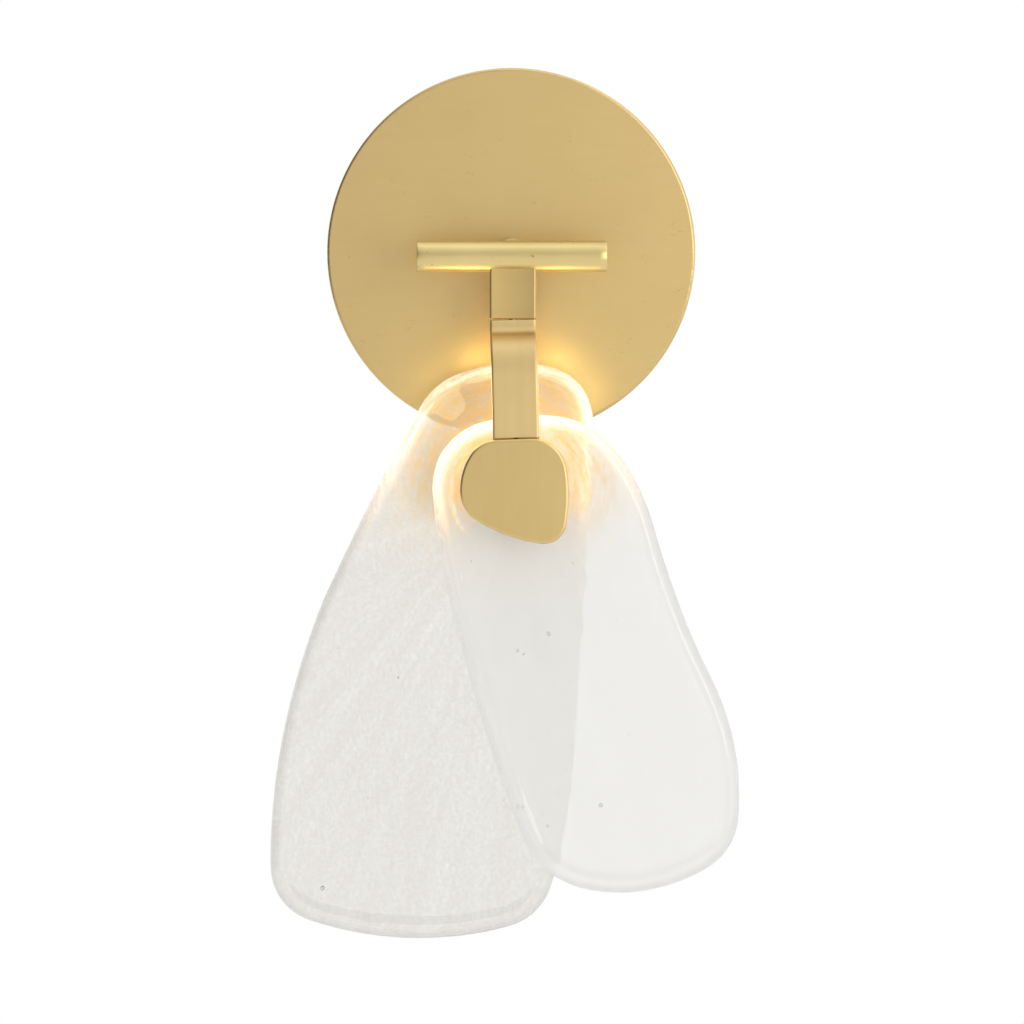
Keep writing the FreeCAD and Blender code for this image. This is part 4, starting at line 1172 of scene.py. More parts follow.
@dataclass
class Stem(Assembly):
    """Threaded stud, washer and nut, the post, the T-bar and the block under it.

    Attributes:
        bar_edge: Size of the chamfers on the bar's ends.
        stud_hole: Radius of the holes in the washer and the nut.
    """

    bar_edge: float = 0.0005
    stud_hole: float = 0.0050

    def build(self) -> None:
        """Builds every piece."""
        self.stud()
        self.dress("post", "bar_brass")
        self.bar()
        self.dress("stem_block", "block_brass")
        self.dress("stem_dowel", "hub_brass")

    def stud(self) -> None:
        """Hollow threaded stud with its washer and nut."""
        stud, washer, nut = Box("hollow_stud"), Box("stud_washer"), Box("stud_nut")
        skin = Skin()
        skin.threaded(stud.radius, 0.0010, 0.0004, stud.length, stud.back, OUTWARD,
                      bore=0.0035, segments=56)
        self.add(skin, "threaded_stud", "zinc_steel", "zinc_steel", ["hollow_stud"])
        skin = Skin()
        skin.ring(washer.radius, self.stud_hole, washer.length,
                  Vector((stud.back.x, washer.high.y, stud.back.z)), OUTWARD)
        self.add(skin, "flat_washer", "zinc_steel", "zinc_steel", ["stud_washer"])
        skin = Skin()
        skin.hexagon(nut.high.z - nut.low.z, nut.length, self.stud_hole,
                     Vector((stud.back.x, nut.high.y, stud.back.z)), OUTWARD)
        self.add(skin, "lock_nut", "zinc_steel", "zinc_steel", ["stud_nut"])

    def bar(self) -> None:
        """Turned T-bar with fine chamfers and a faint centre mark in each end."""
        box = Box("cross_bar")
        low, high, edge = box.low, box.high, self.bar_edge
        radius = (high.z - low.z) / 2
        length = high.x - low.x
        run: Profile = [(0.0006, 0.00012), (0.0016, 0.0)]
        run += [(radius * step / 6, 0.0) for step in range(2, 6)]
        run += [(radius - edge, 0.0), (radius - edge * 0.35, edge * 0.30), (radius, edge)]
        end = run[::-1]
        run += [(radius, length * step / 24) for step in range(1, 24)]
        run += [(r, length - along) for r, along in end]
        skin = Skin()
        skin.turned(run, Vector((low.x, box.centre.y, box.centre.z)), RIGHT, 128,
                    open_ends=True)
        self.add(skin, "t_bar", "bar_brass", "bar_brass", ["cross_bar"], sharp=35.0)


@dataclass
class Strap(Assembly):
    """The bent strap, the strip over its groove and the lead inside."""

    def build(self) -> None:
        """Dresses all three."""
        self.dress("strap", "strap_brass")
        self.dress("channel_cover", "strap_brass")
        self.dress("lamp_lead", "lead_black")


@dataclass(frozen=True)
class Seed:
    """A bubble or speck in the glass.

    Attributes:
        x: Position to the right, in metres.
        z: Position upwards, in metres.
        depth: Place in the thickness, from 0 at the wall side to 1 at the room side.
        radius: Its radius in metres.
        long: Its length along the petal, in radii.
    """

    x: float
    z: float
    depth: float
    radius: float
    long: float = 1.0


def wall_outline(node: str, y: float, count: int) -> Outline:
    """Outline of a slab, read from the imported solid's side wall.

    Args:
        node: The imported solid.
        y: Level of a seam on the side wall, where all vertices lie on the outline.
        count: Number of points wanted.

    Returns:
        Evenly spaced points in the plane of x and z, anticlockwise as the room sees them.
    """
    near_seam, per_metre, smoothings = 3e-5, 2e4, 4
    found: dict[tuple[int, int], Vector] = {}
    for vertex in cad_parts[node].data.vertices:
        if abs(vertex.co.y - y) < near_seam:
            key = (round(vertex.co.x * per_metre), round(vertex.co.z * per_metre))
            found[key] = Vector((vertex.co.x, vertex.co.z))
    points = list(found.values())
    centre = sum(points, Vector((0.0, 0.0))) / len(points)
    points.sort(key=lambda point: math.atan2(point.y - centre.y, point.x - centre.x))
    even = resample(points, count)
    for _ in range(smoothings):
        even = [(even[index - 1] + even[index] * 2 + even[(index + 1) % count]) / 4
                for index in range(count)]
    return resample(even, count)


def resample(points: Outline, count: int) -> Outline:
    """Even points along a closed line.

    Args:
        points: The line's points.
        count: Number of points wanted.

    Returns:
        The new points.
    """
    lengths = [(points[(index + 1) % len(points)] - point).length
               for index, point in enumerate(points)]
    step = sum(lengths) / count
    even: Outline = []
    travelled, wanted = 0.0, 0.0
    for index, length in enumerate(lengths):
        after = points[(index + 1) % len(points)]
        while len(even) < count and wanted <= travelled + length:
            even.append(points[index].lerp(after, (wanted - travelled) / length))
            wanted += step
        travelled += length
    return even


def outward(points: Outline) -> Outline:
    """Directions that point out of a closed line.

    Args:
        points: The line's points, anticlockwise.

    Returns:
        A unit direction for each point.
    """
    count = len(points)
    found: Outline = []
    for index in range(count):
        along = (points[(index + 1) % count] - points[index - 1]).normalized()
        found.append(Vector((along.y, -along.x)))
    return found


@dataclass
class Petal(Assembly):
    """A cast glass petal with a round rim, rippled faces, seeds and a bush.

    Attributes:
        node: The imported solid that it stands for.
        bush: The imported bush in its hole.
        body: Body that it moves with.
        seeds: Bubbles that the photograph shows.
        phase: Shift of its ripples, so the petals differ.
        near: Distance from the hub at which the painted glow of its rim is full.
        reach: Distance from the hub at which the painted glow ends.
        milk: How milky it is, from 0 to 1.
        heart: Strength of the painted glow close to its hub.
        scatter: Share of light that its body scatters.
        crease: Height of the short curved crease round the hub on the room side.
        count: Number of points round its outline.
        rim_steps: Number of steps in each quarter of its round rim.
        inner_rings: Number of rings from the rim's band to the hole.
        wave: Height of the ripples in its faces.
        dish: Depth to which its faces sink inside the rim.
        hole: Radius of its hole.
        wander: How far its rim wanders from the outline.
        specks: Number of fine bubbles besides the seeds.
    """

    node: str
    bush: str
    body: str
    seeds: tuple[Seed, ...]
    phase: float
    near: float
    reach: float
    milk: float
    heart: float
    scatter: float
    crease: float = 0.0
    count: int = 420
    rim_steps: int = 9
    inner_rings: int = 46
    wave: float = 0.00022
    dish: float = 0.00045
    hole: float = 0.0080
    wander: float = 0.00018
    specks: int = 9
    half: float = field(init=False, default=0.0)
    level: float = field(init=False, default=0.0)
    hub: Vector = field(init=False, default_factory=Vector)
    outline: Outline = field(init=False, default_factory=list)
    normals: Outline = field(init=False, default_factory=list)
    stored: dict[str, list[float]] = field(init=False, default_factory=dict)

    def build(self) -> None:
        """Builds the petal and dresses its bush."""
        self.dress(self.bush, "bush_nylon")
        box, centre = Box(self.node), Box(self.bush).centre
        self.half = box.length / 2
        self.level = (box.high.y + box.low.y) / 2
        self.hub = Vector((centre.x, centre.z))
        self.outline = wall_outline(self.node, self.level - 0.0004, self.count)
        self.normals = outward(self.outline)
        self.stored = {"glow": [], "painted_warm_light": [], "tone": [], "scatter": [], "fan": []}
        skin = Skin()
        room, wall = (self.face(skin, side) for side in (ROOM_SIDE, WALL_SIDE))
        skin.bridge(room[0], wall[0])
        skin.bridge(room[-1], wall[-1])
        petal = self.add(skin, f"{self.node}_cast", "cast_glass", "petal_glass",
                         [self.node], self.body, 60.0, self.stored)
        petal.visible_shadow = False
        self.bubbles(petal)

    def face(self, skin: Skin, side: float) -> list[list[int]]:
        """One half of the petal, from its rim to its hole.

        Args:
            skin: The mesh to add to.
            side: ROOM_SIDE or WALL_SIDE.

        Returns:
            The rings of vertices from rim to hole.
        """
        rings: list[list[int]] = []
        for inset, level in self.profile():
            line = [point - normal * inset for point, normal in zip(self.outline, self.normals)]
            rings.append(self.add_ring(skin, line, inset, level, side))
        hole = [self.hub + self.from_hub(point) * self.hole for point in line]
        for step in range(1, self.inner_rings + 1):
            t = step / self.inner_rings
            blend = [point.lerp(end, t) for point, end in zip(line, hole)]
            rings.append(self.add_ring(skin, blend, inset + t, 1.0, side))
        skin.stack(rings)
        return rings

    def profile(self) -> list[tuple[float, float]]:
        """Cross-section of the rim and of the band inside it.

        Returns:
            Pairs of inset from the outline and share of the half gauge, from the rim in.
        """
        start = 0.35
        pairs = []
        for step in range(self.rim_steps + 1):
            angle = (math.pi / 2) * (step + start) / (self.rim_steps + start)
            pairs.append((self.half * (1 - math.cos(angle)), math.sin(angle)))
        band = (0.0058, 0.0067, 0.0077, 0.0089, 0.0103, 0.0120, 0.0140)
        return pairs + [(inset, 1.0) for inset in band]

    def from_hub(self, point: Vector) -> Vector:
        """Unit direction from the hub to a point of the outline's plane."""
        return (point - self.hub).normalized()

    def add_ring(self, skin: Skin, line: Outline, inset: float, level: float,
                 side: float) -> list[int]:
        """Adds one ring of a face, with its relief and the numbers for its shader.

        Args:
            skin: The mesh to add to.
            line: The ring's points.
            inset: Distance in from the outline, in metres; 1 or more past the rim's band.
            level: Share of the half gauge at which the ring lies.
            side: ROOM_SIDE or WALL_SIDE.

        Returns:
            The ring's vertex numbers.
        """
        points: list[Vector] = []
        for flat in line:
            sunk = self.relief(flat, inset, side) * level
            wobble = self.wander * self.ripple(flat, 0.022, 7.3) * (1 - level)
            direction = self.from_hub(flat)
            y = self.level + side * (self.half * level - sunk)
            points.append(Vector((flat.x + direction.x * (wobble - self.wander), y,
                                  flat.y + direction.y * (wobble - self.wander))))
            self.store(flat, inset, side)
        return skin.loop(points)

    def store(self, flat: Vector, inset: float, side: float) -> None:
        """Stores the shader's numbers for one vertex.

        The wall side scatters most of the light, so the room side looks clear and deep.

        Args:
            flat: The vertex in the plane of x and z.
            inset: Distance in from the outline, in metres; 1 or more past the rim's band.
            side: ROOM_SIDE or WALL_SIDE.
        """
        offset = flat - self.hub
        distance = offset.length
        rise = ease(offset.y / max(distance, 1e-6), -0.80, 0.15)
        rim = ease(inset, 0.0060, 0.0020)
        # Painted glow: fall, heart and line set the painted glow that stands in for the ring's
        # light carried through the glass. It is strongest at the rim near the hub, grows
        # towards the top and runs along the crease.
        fall = min(max((self.reach - distance) / (self.reach - self.near), 0.0), 1.0)
        heart = self.heart * ease(distance, 0.040, 0.018) * rise
        line = 0.16 * self.crease_line(flat) if self.crease else 0.0
        glow = min(fall * fall * rim * (0.10 + 0.90 * rise) + heart + line, 1.0)
        # Painted warm light: the ring's warm light, painted into the colour near the hub and
        # towards the top.
        painted_warm_light = ease(distance, self.reach * 0.85, self.near * 0.70) * (0.08 + 0.92 * rise)
        # Painted shade: outer makes the rim milkier and darker on the right, far from the hub,
        # standing in for its dark edge line.
        outer = 0.30 * ease(inset, 0.0028, 0.0008) * ease(offset.x, 0.0, 0.02) * (1 - fall)
        self.stored["glow"].append(glow)
        self.stored["painted_warm_light"].append(painted_warm_light * (0.90 - 0.80 * rim))
        self.stored["tone"].append(self.milk + outer)
        body, cloud = (self.scatter, 0.75) if side == WALL_SIDE else (0.02, 0.10)
        body = max(body, cloud * ease(distance, 0.058, 0.034) * rise)
        self.stored["scatter"].append(min(body + 0.25 * ease(inset, 0.0050, 0.0015), 0.9))
        self.stored["fan"] += [math.atan2(offset.x, -offset.y) * 0.12, distance * 0.09,
                               self.phase]

    def ripple(self, flat: Vector, size: float, shift: float) -> float:
        """Smooth noise, drawn out along the petal.

        Args:
            flat: A point in the plane of x and z.
            size: Width of its waves in metres.
            shift: Shift that makes one ripple differ from another.

        Returns:
            A number from about -1 to 1.
        """
        along = self.from_hub(flat)
        reach = (flat - self.hub).length
        turn = math.atan2(along.x, -along.y) * 0.10
        return noise.noise(Vector((turn / size, reach / (size * 2.6),
                                   self.phase + shift))) * 1.6

    def relief(self, flat: Vector, inset: float, side: float) -> float:
        """Depth of the face below the full gauge.

        Args:
            flat: A point in the plane of x and z.
            inset: Distance in from the outline, in metres; 1 or more past the rim's band.
            side: ROOM_SIDE or WALL_SIDE.

        Returns:
            The depth in metres.
        """
        distance = (flat - self.hub).length
        calm = ease(distance, self.hole + 0.003, self.hole + 0.016)
        band = ease(inset, 0.0040, 0.0092)
        even = noise.noise(Vector((flat.x / 0.034, flat.y / 0.034, self.phase + side))) * 1.5
        waves = self.ripple(flat, 0.011, side * 3.1) * 0.55 + even * 0.7
        sunk = calm * band * (self.dish + self.wave * (0.4 + waves))
        if self.crease and side == ROOM_SIDE:
            sunk -= self.crease * self.crease_line(flat)
        return max(sunk, -0.0003)

    def crease_line(self, flat: Vector) -> float:
        """The short curved crease left of the cap.

        Args:
            flat: A point in the plane of x and z.

        Returns:
            1 on the crease, falling to 0 beside it and past its ends.
        """
        offset = flat - self.hub
        angle = math.degrees(math.atan2(offset.y, offset.x)) % 360
        ends = ease(angle, 128, 150) * ease(angle, 228, 208)
        drift = 0.0254 + 0.0024 * ease(angle, 148, 196)
        return ends * ease(abs(offset.length - drift), 0.0009, 0.0002)

    def bubbles(self, petal: bpy.types.Object) -> None:
        """Joins the seeds to the petal as closed hollows, with their faces turned inwards.

        Args:
            petal: The petal's object.
        """
        clear_of_hub, spread, squeeze, milky = 0.035, 0.7, 0.8, 0.8
        chance = random.Random(round(self.phase * 100))
        seeds = list(self.seeds)
        while len(seeds) < len(self.seeds) + self.specks:
            point = self.outline[chance.randrange(self.count)]
            t = chance.uniform(0.12, 0.80)
            spot = point.lerp(self.hub, t)
            if (spot - self.hub).length > clear_of_hub:
                seeds.append(Seed(spot.x, spot.y, chance.uniform(0.25, 0.75),
                                  chance.uniform(0.00012, 0.00028), chance.uniform(1.0, 2.2)))
        work = bmesh.new()
        work.from_mesh(petal.data)
        tone = work.verts.layers.float.get("tone")
        for seed in seeds:
            direction = self.from_hub(Vector((seed.x, seed.z)))
            turn = math.atan2(direction.x, direction.y)
            y = self.level + self.half * (1 - 2 * seed.depth) * spread
            place = (Matrix.Translation((seed.x, y, seed.z)) @ Matrix.Rotation(turn, 4, "Y")
                     @ Matrix.Diagonal((1.0, squeeze, seed.long, 1.0)))
            made = bmesh.ops.create_icosphere(work, subdivisions=2, radius=seed.radius,
                                              matrix=place)
            faces = {face for vertex in made["verts"] for face in vertex.link_faces}
            bmesh.ops.reverse_faces(work, faces=list(faces))
            for face in faces:
                face.smooth = True
            for vertex in made["verts"]:
                vertex[tone] = milky
        work.to_mesh(petal.data)
        work.free()


@dataclass
class FrontPetal(Petal):
    """The petal that hangs in front, to the right."""

    node: str = "front_glass"
    bush: str = "front_glass_bush"
    body: str = "front_petal"
    seeds: tuple[Seed, ...] = (
        Seed(0.0361, -0.2254, 0.7, 0.00085), Seed(0.0147, -0.1550, 0.6, 0.00080, 1.3),
        Seed(0.0045, -0.1632, 0.7, 0.00055), Seed(0.0020, -0.1620, 0.5, 0.00060, 1.4),
        Seed(0.0143, -0.2340, 0.6, 0.00065), Seed(0.0024, -0.2257, 0.8, 0.00050, 2.4),
        Seed(0.0040, -0.2262, 0.8, 0.00045, 2.0))
    phase: float = 2.7
    near: float = 0.026
    reach: float = 0.062
    milk: float = 0.14
    heart: float = 0.16
    scatter: float = 0.62
    crease: float = 0.00045


@dataclass
class RearPetal(Petal):
    """The petal that hangs behind, to the left."""

    node: str = "rear_glass"
    bush: str = "rear_glass_bush"
    body: str = "rear_petal"
    seeds: tuple[Seed, ...] = (
        Seed(-0.0783, -0.2622, 0.6, 0.00090, 1.2), Seed(-0.0985, -0.2343, 0.5, 0.00050),
        Seed(-0.0470, -0.1750, 0.4, 0.00050))
    phase: float = 9.4
    near: float = 0.040
    reach: float = 0.082
    milk: float = 0.85
    heart: float = 0.04
    scatter: float = 0.20


@dataclass
class Hub(Assembly):
    """Everything on the hub sleeve: gaskets, core, light ring, rear disc and nut.

    Attributes:
        chips: Number of chips round the light strip.
    """

    chips: int = 16

    def build(self) -> None:
        """Builds every piece."""
        for node in ("hub_sleeve", "core_washers", "rear_disc"):
            self.dress(node, "hub_brass")
        self.dress("lamp_core", "core_aluminium")
        for node in ("front_gasket", "rear_gasket"):
            self.gasket(node)
        self.light_ring()
        self.diffuser()
        self.closed_nut()
        self.cap_screws()

    def gasket(self, node: str) -> None:
        """A silicone ring with rounded lips.

        Args:
            node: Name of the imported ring.
        """
        box = Box(node)
        skin = Skin()
        skin.ring(box.radius, 0.0050, box.length, box.back, OUTWARD, 0.0005)
        self.add(skin, f"{node}_ring", "silicone", "silicone", [node])

    def light_ring(self) -> None:
        """The light strip, with domed chips round it."""
        box = Box("led_strip")
        strip = Skin()
        strip.ring(box.radius, box.radius - 0.0006, box.length, box.back, OUTWARD, 0.0001, 96)
        self.add(strip, "light_strip", "strip_board", "strip_board", ["led_strip"])
        width = Box("led_chips").length
        chips = Skin()
        for angle in turns(self.chips):
            self.chip(chips, box.centre, box.radius, width, angle)
        self.add(chips, "light_chips", "chip_phosphor", "chip_phosphor", ["led_chips"])

    def chip(self, skin: Skin, centre: Vector, radius: float, width: float,
             angle: float) -> None:
        """One chip: a low frame with a domed lens.

        Args:
            skin: The mesh to add to.
            centre: Middle of the light strip.
            radius: Radius of the strip's outside, on which the chip sits.
            width: Width of the chip.
            angle: Its place round the strip.
        """
        rise, bevel = 0.0004, 0.00015
        mesh = bmesh.new()
        bmesh.ops.create_cube(mesh, size=1.0)
        bmesh.ops.subdivide_edges(mesh, edges=mesh.edges[:], cuts=4, use_grid_fill=True)
        for vertex in mesh.verts:
            u, v, w = vertex.co
            dome = max(1 - (2 * v) ** 4, 0) * max(1 - (2 * w) ** 4, 0)
            height = rise * (u + 0.5) + (rise * dome if u > 0.49 else 0.0)
            vertex.co = Vector((radius + height, v * width, w * width))
        bmesh.ops.bevel(mesh, geom=[edge for edge in mesh.edges
                                    if edge.calc_face_angle(0) > 1.0],
                        offset=bevel, segments=2, affect="EDGES")
        turn = Matrix.Rotation(angle, 4, "Y")
        bmesh.ops.transform(mesh, matrix=Matrix.Translation(centre) @ turn,
                            verts=mesh.verts[:])
        skin.append(mesh)
        mesh.free()

    def diffuser(self) -> None:
        """Opal ring with rounded edges."""
        box = Box("diffuser_ring")
        skin = Skin()
        skin.ring(box.radius, box.radius - 0.0020, box.length, box.back, OUTWARD, 0.0004, 96)
        self.add(skin, "opal_ring", "opal_plastic", "opal_plastic", ["diffuser_ring"])

    def closed_nut(self) -> None:
        """Domed nut with a knurled skirt."""
        box = Box("rear_cap_nut")
        radius, length, base = box.radius, box.length, box.back
        skin = Skin()
        profile: Profile = [(0.0012, 0.00005), (radius * 0.45, 0.0001), (radius * 0.68, 0.0005),
                            (radius * 0.84, 0.0013), (radius * 0.95, 0.0024),
                            (radius * 0.985, 0.0032), (radius * 0.97, 0.0034),
                            (radius, 0.0036), (radius, length - 0.0004),
                            (radius - 0.0004, length), (radius * 0.6, length)]
        skin.turned(profile, base, OUTWARD, 120, open_ends=True)
        for index, point in enumerate(skin.points):
            offset = point - base
            along = offset.dot(OUTWARD)
            across = offset - OUTWARD * along
            on_skirt = 0.0035 < along < length - 0.0002 and across.length > radius * 0.99
            if on_skirt and index % 2:
                skin.points[index] = point - across.normalized() * 0.00022
        self.add(skin, "domed_nut", "hub_brass", "hub_brass", ["rear_cap_nut"], sharp=30.0)

    def cap_screws(self) -> None:
        """Two small socket screws behind the tongue."""
        box = Box("cap_screws")
        low, high = box.low, box.high
        head, depth, shank = 0.0022, 0.0010, 0.00125
        run: Profile = [(0.0007, 0.0006), (0.0010, 0.0), (head * 0.8, 0.0),
                        (head * 0.97, 0.00025), (head, depth), (shank, depth),
                        (shank, box.length)]
        level, tilt = (low.z + high.z) / 2, (high.z - low.z) / 2 - head
        skin = Skin()
        for x, z in ((low.x + head, level + tilt), (high.x - head, level - tilt)):
            skin.turned(run, Vector((x, high.y, z)), OUTWARD, 40, open_ends=True)
        self.add(skin, "tongue_screws", "zinc_steel", "zinc_steel", ["cap_screws"])


@dataclass
class PebbleCap(Assembly):
    """The pebble-shaped cap over the hub.

    Attributes:
        edge: Radius of its front edge.
        count: Number of points round its outline.
        crown: Height of the crown on its face.
        back_edge: Size of the chamfer round its back.
        shoulder: Inset at which the crown starts.
    """

    edge: float = 0.0011
    count: int = 280
    crown: float = 0.00016
    back_edge: float = 0.0003
    shoulder: float = 0.0026

    def build(self) -> None:
        """Builds the cap from its outline: soft front edge, faintly crowned face."""
        box = Box("pebble_cap")
        front, back = box.low.y, box.high.y
        outline = wall_outline("pebble_cap", front + 0.0009, self.count)
        sides = list(zip(outline, outward(outline)))
        centre = sum(outline, Vector((0.0, 0.0))) / self.count
        rings = [(0.0, back - self.back_edge), (0.0, front + 0.0025)]
        for step in range(8):
            angle = (math.pi / 2) * step / 7
            rings.append((self.edge * (1 - math.cos(angle)),
                          front + self.edge * (1 - math.sin(angle)) + self.crown))
        rings += [(0.0016, front + self.crown * 0.97),
                  (self.shoulder, front + self.crown * 0.90)]
        skin = Skin()
        loops = [skin.loop(Vector((p.x - n.x * self.back_edge, back,
                                   p.y - n.y * self.back_edge)) for p, n in sides)]
        skin.close(loops[0])
        for inset, y in rings:
            loops.append(skin.loop(Vector((p.x - n.x * inset, y, p.y - n.y * inset))
                                   for p, n in sides))
        start = [p - n * self.shoulder for p, n in sides]
        for step in range(1, 12):
            t = step / 12
            y = front + self.crown * 0.90 * (1 - t) ** 2
            loops.append(skin.loop(
                Vector((p.x + (centre.x - p.x) * t, y, p.y + (centre.y - p.y) * t))
                for p in start))
        skin.stack(loops)
        skin.close(loops[-1])
        self.add(skin, "pebble_cover", "cap_brass", "cap_brass", ["pebble_cap"], sharp=50.0)


# ---------------------------------------------------------------- studio

Value = float | bpy.types.NodeSocket


class Sky:
    """A world's node tree, with short calls for the sums it needs."""

    def __init__(self, tree: bpy.types.NodeTree) -> None:
        """Empties the tree.

        Args:
            tree: The world's node tree.
        """
        self.tree = tree
        tree.nodes.clear()

    def sum(self, operation: str, first: Value, second: Value) -> bpy.types.NodeSocket:
        """One step of arithmetic.

        Args:
            operation: Blender's name for it.
            first: First value.
            second: Second value.

        Returns:
            The result.
        """
        node = self.tree.nodes.new("ShaderNodeMath")
        node.operation = operation
        for index, value in enumerate((first, second)):
            if isinstance(value, bpy.types.NodeSocket):
                self.tree.links.new(value, node.inputs[index])
            else:
                node.inputs[index].default_value = value
        return node.outputs[0]

    def plus(self, first: Value, second: Value) -> bpy.types.NodeSocket:
        """First and second together."""
        return self.sum("ADD", first, second)

    def minus(self, first: Value, second: Value) -> bpy.types.NodeSocket:
        """First less second."""
        return self.sum("SUBTRACT", first, second)

    def times(self, first: Value, second: Value) -> bpy.types.NodeSocket:
        """First times second."""
        return self.sum("MULTIPLY", first, second)

    def most(self, first: Value, second: Value) -> bpy.types.NodeSocket:
        """The larger of two values."""
        return self.sum("MAXIMUM", first, second)

    def heading(self) -> list[bpy.types.NodeSocket]:
        """The direction looked in.

        Returns:
            Its x, y and z.
        """
        axes = self.tree.nodes.new("ShaderNodeSeparateXYZ")
        coordinates = self.tree.nodes.new("ShaderNodeTexCoord")
        self.tree.links.new(coordinates.outputs["Generated"], axes.inputs[0])
        return list(axes.outputs)

    def zone(self, value: Value, low: float, high: float) -> bpy.types.NodeSocket:
        """Rises smoothly from 0 at low to 1 at high.

        Args:
            value: The value to follow.
            low: Where it starts.
            high: Where it ends.

        Returns:
            The result.
        """
        node = self.tree.nodes.new("ShaderNodeMapRange")
        node.interpolation_type = "SMOOTHSTEP"
        node.inputs["From Min"].default_value = low
        node.inputs["From Max"].default_value = high
        self.tree.links.new(value, node.inputs["Value"])
        return node.outputs[0]

    def ramp(self, value: Value, stops: Sequence[tuple[float, float]]) -> bpy.types.NodeSocket:
        """Follows a run of stops, each a position from -1 to 1 and a level.

        Args:
            value: The value to follow.
            stops: Positions, rising, with a level at each.

        Returns:
            The level.
        """
        node = self.tree.nodes.new("ShaderNodeValToRGB")
        node.color_ramp.interpolation = "EASE"
        elements = node.color_ramp.elements
        while len(elements) < len(stops):
            elements.new(0.5)
        for element, (position, level) in zip(elements, stops):
            element.position = (position + 1) / 2
            element.color = (level / 2, level / 2, level / 2, 1.0)
        self.tree.links.new(self.times(self.plus(value, 1.0), 0.5), node.inputs[0])
        return self.times(node.outputs[0], 2.0)

    def path(self) -> dict[str, bpy.types.NodeSocket]:
        """What kind of ray looks at the world, by name."""
        return dict(self.tree.nodes.new("ShaderNodeLightPath").outputs.items())

    def show(self, strength: bpy.types.NodeSocket) -> None:
        """Lights the world in white.

        Args:
            strength: The strength of the light.
        """
        background = self.tree.nodes.new("ShaderNodeBackground")
        background.inputs["Color"].default_value = (1.0, 1.0, 1.0, 1.0)
        self.tree.links.new(strength, background.inputs["Strength"])
        output = self.tree.nodes.new("ShaderNodeOutputWorld")
        self.tree.links.new(background.outputs[0], output.inputs["Surface"])


@dataclass(frozen=True)
class Softbox:
    """A soft studio lamp.

    Attributes:
        name: Name of the lamp.
        place: Its position in metres.
        aim: The point it faces.
        width: Its width in metres.
        height: Its height in metres.
        power: Its power in watts.
    """

    name: str
    place: Triple
    aim: Triple
    width: float
    height: float
    power: float

    def build(self) -> None:
        """Adds the lamp, facing its aim."""
        light = bpy.data.lights.new(self.name, "AREA")
        light.shape = "RECTANGLE"
        light.size, light.size_y = self.width, self.height
        heading = Vector(self.aim) - Vector(self.place)
        lamp = hang(light, self.place, self.power)
        lamp.rotation_euler = heading.to_track_quat("-Z", "Y").to_euler()


def hang(light: bpy.types.Light, place: Triple, power: float) -> bpy.types.Object:
    """Adds a lamp that neither the camera nor the glass sees.

    Args:
        light: The lamp's data.
        place: Its position in metres.
        power: Its power in watts.

    Returns:
        The new lamp.
    """
    light.energy = power
    lamp = put(light.name, light)
    lamp.location = place
    lamp.visible_camera = False
    lamp.visible_transmission = False
    return lamp


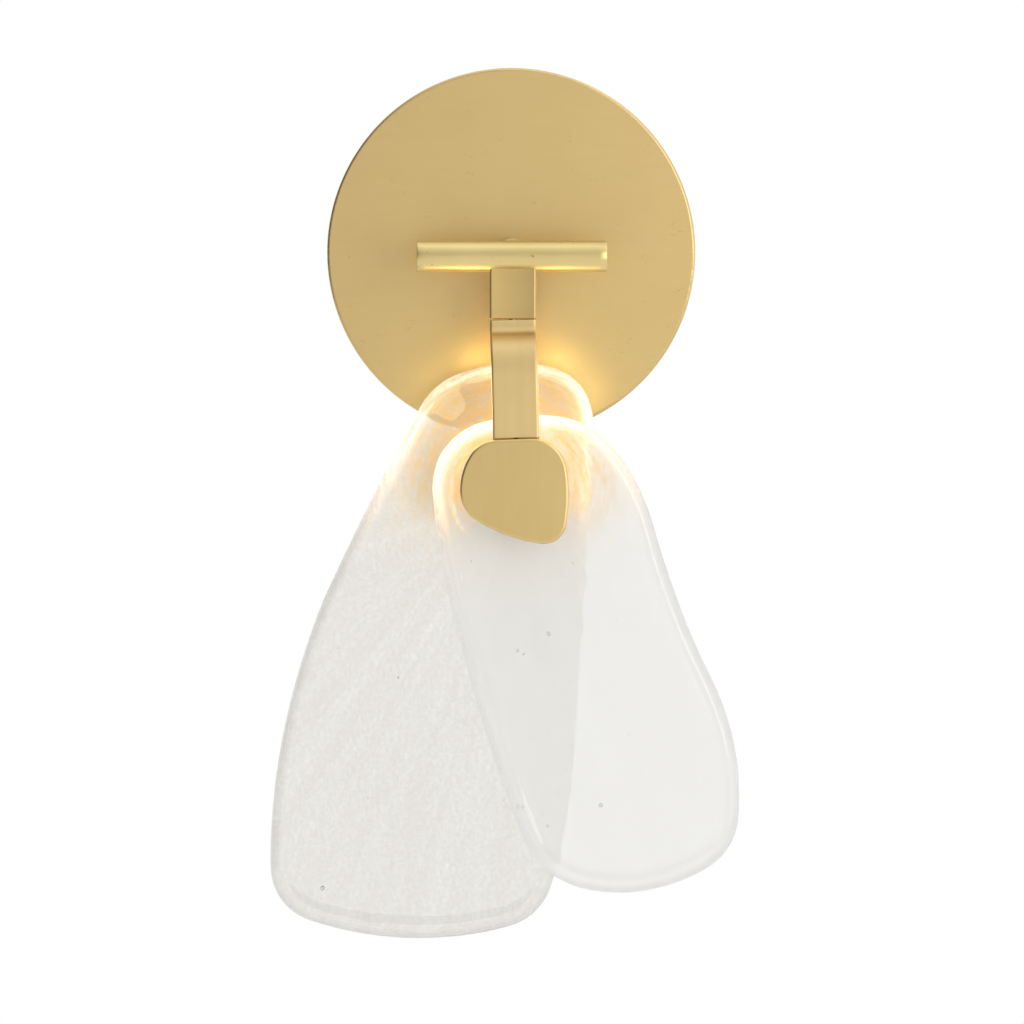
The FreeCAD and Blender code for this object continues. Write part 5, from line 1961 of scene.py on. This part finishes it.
@dataclass
class Studio:
    """Camera, lamps, pale floor and white surroundings.

    Attributes:
        camera_place: Position of the camera.
        camera_turn: Its rotation about X, Y and Z in degrees.
        lens: Its focal length in millimetres.
        floor_level: Height of the floor.
        ambient: Light that matt surfaces get from all round.
        softboxes: The two soft lamps.
        heights: Brightness that metal mirrors, by the height looked at, from -1 to 1.
        ring_lamps: Place and power of each small lamp by the rear petal.
        ring_colour: Colour of those lamps.
    """

    camera_place: Triple = (-0.036, -2.625, 0.058)
    camera_turn: Triple = (90.0 - 3.64218, 0.0, -0.79966)
    lens: float = 220.868
    floor_level: float = -0.95
    ambient: float = 0.70
    softboxes: tuple[Softbox, ...] = (
        Softbox("key", (-0.12, -0.30, 1.8), (0.0, -0.05, -0.05), 1.6, 0.7, 1.2),
        Softbox("fill", (0.60, -1.05, 0.15), (0.0, 0.0, -0.05), 0.5, 0.8, 2.7),
    )
    heights: tuple[tuple[float, float], ...] = (
        (-1.0, 0.85), (-0.90, 0.98), (-0.45, 0.92), (-0.15, 0.84), (-0.03, 0.83), (0.08, 0.62),
        (0.38, 0.56), (0.62, 0.78), (0.82, 0.98), (0.94, 1.02), (1.0, 1.00))
    ring_lamps: tuple[tuple[Triple, float], ...] = (
        ((-0.026, -0.058, -0.062), 0.0085), ((-0.013, -0.058, -0.050), 0.0085),
        ((0.019, -0.058, -0.049), 0.0060), ((0.031, -0.058, -0.060), 0.0030),
        ((0.003, -0.050, -0.066), 0.0070))
    ring_colour: Colour = (1.0, 0.80, 0.36)

    def build(self) -> None:
        """Builds the whole studio."""
        self.camera()
        self.surroundings()
        self.floor()
        for softbox in self.softboxes:
            softbox.build()
        self.ring_light()
        bpy.context.scene.view_settings.view_transform = "Standard"
        LOG.info("studio ready")

    def camera(self) -> None:
        """The photograph's camera."""
        data = bpy.data.cameras.new("view")
        data.sensor_width = 36.0
        data.lens = self.lens
        camera = put("view", data)
        camera.location = self.camera_place
        camera.rotation_euler = [math.radians(angle) for angle in self.camera_turn]
        bpy.context.scene.camera = camera

    def surroundings(self) -> None:
        """White for the camera, softly graded where metal mirrors it or glass bends it."""
        world = bpy.data.worlds.new("studio")
        bpy.context.scene.world = world
        world.use_nodes = True
        sky = Sky(world.node_tree)
        x, y, z = sky.heading()
        behind = sky.zone(y, 0.15, 0.60)
        left = sky.zone(sky.times(x, -1.0), 0.35, 0.75)
        right = sky.zone(x, 0.30, 0.65)
        level = sky.ramp(z, self.heights)
        level = sky.times(level, sky.minus(1.0, sky.times(left, 0.90)))
        level = sky.times(level, sky.plus(1.0, sky.times(right, 0.75)))
        mirrored = sky.plus(sky.times(level, sky.minus(1.0, behind)), behind)
        bent = sky.plus(0.975, sky.times(behind, 0.025))
        path = sky.path()
        bending = path["Is Transmission Ray"]
        mirroring = sky.times(path["Is Glossy Ray"], sky.minus(1.0, bending))
        other = sky.minus(1.0, sky.plus(mirroring, bending))
        shown = sky.plus(sky.plus(sky.times(mirroring, mirrored), sky.times(bending, bent)),
                         sky.times(other, self.ambient))
        camera = path["Is Camera Ray"]
        sky.show(sky.most(camera, sky.times(shown, sky.minus(1.0, camera))))

    def floor(self) -> None:
        """Pale floor well below the sconce, which keeps the object's shadow."""
        skin = Skin()
        loops = [skin.loop(Vector((math.cos(angle) * radius, math.sin(angle) * radius,
                                   self.floor_level)) for angle in turns(64))
                 for radius in (0.4, 1.2, 3.6)]
        skin.stack(loops)
        skin.close(loops[0])
        shader = Shader("pale_floor")
        shader.mottle(shader.noise(0.02, UNIT, 2.0), 0.3, 0.7, (0.86, 0.86, 0.86),
                      (0.84, 0.84, 0.84))
        shader.set(Roughness=0.7, Emission_Color=(0.30, 0.30, 0.30))
        path = shader.add("ShaderNodeLightPath")
        share = shader.add("ShaderNodeMath", operation="MAXIMUM")
        shader.join(path, "Is Camera Ray", share, 0)
        shader.join(path, "Is Glossy Ray", share, 1)
        bent = shader.add("ShaderNodeMath", operation="MAXIMUM")
        shader.join(share, 0, bent, 0)
        shader.join(path, "Is Transmission Ray", bent, 1)
        shader.join(bent, 0, shader.surface, "Emission Strength")
        skin.finish("floor", shader.material)

    def ring_light(self) -> None:
        """Small warm lamps by the upper rim of the rear petal, where its light leaves."""
        for number, (place, power) in enumerate(self.ring_lamps):
            light = bpy.data.lights.new(f"ring_{number}", "POINT")
            light.color = self.ring_colour
            light.shadow_soft_size = 0.008
            hang(light, place, power)


# ---------------------------------------------------------------- the whole sconce


def main() -> None:
    """Builds the sconce and its studio, in order."""
    logging.basicConfig(level=logging.INFO, format="%(name)s: %(message)s")
    finishes = Finishes()
    Studio().build()
    for part in (Canopy, WallHardware, Stem, Strap, Hub, PebbleCap, FrontPetal, RearPetal):
        part(finishes).build()
        LOG.info("%s done", part.__name__)


if __name__ == "__main__":
    main()
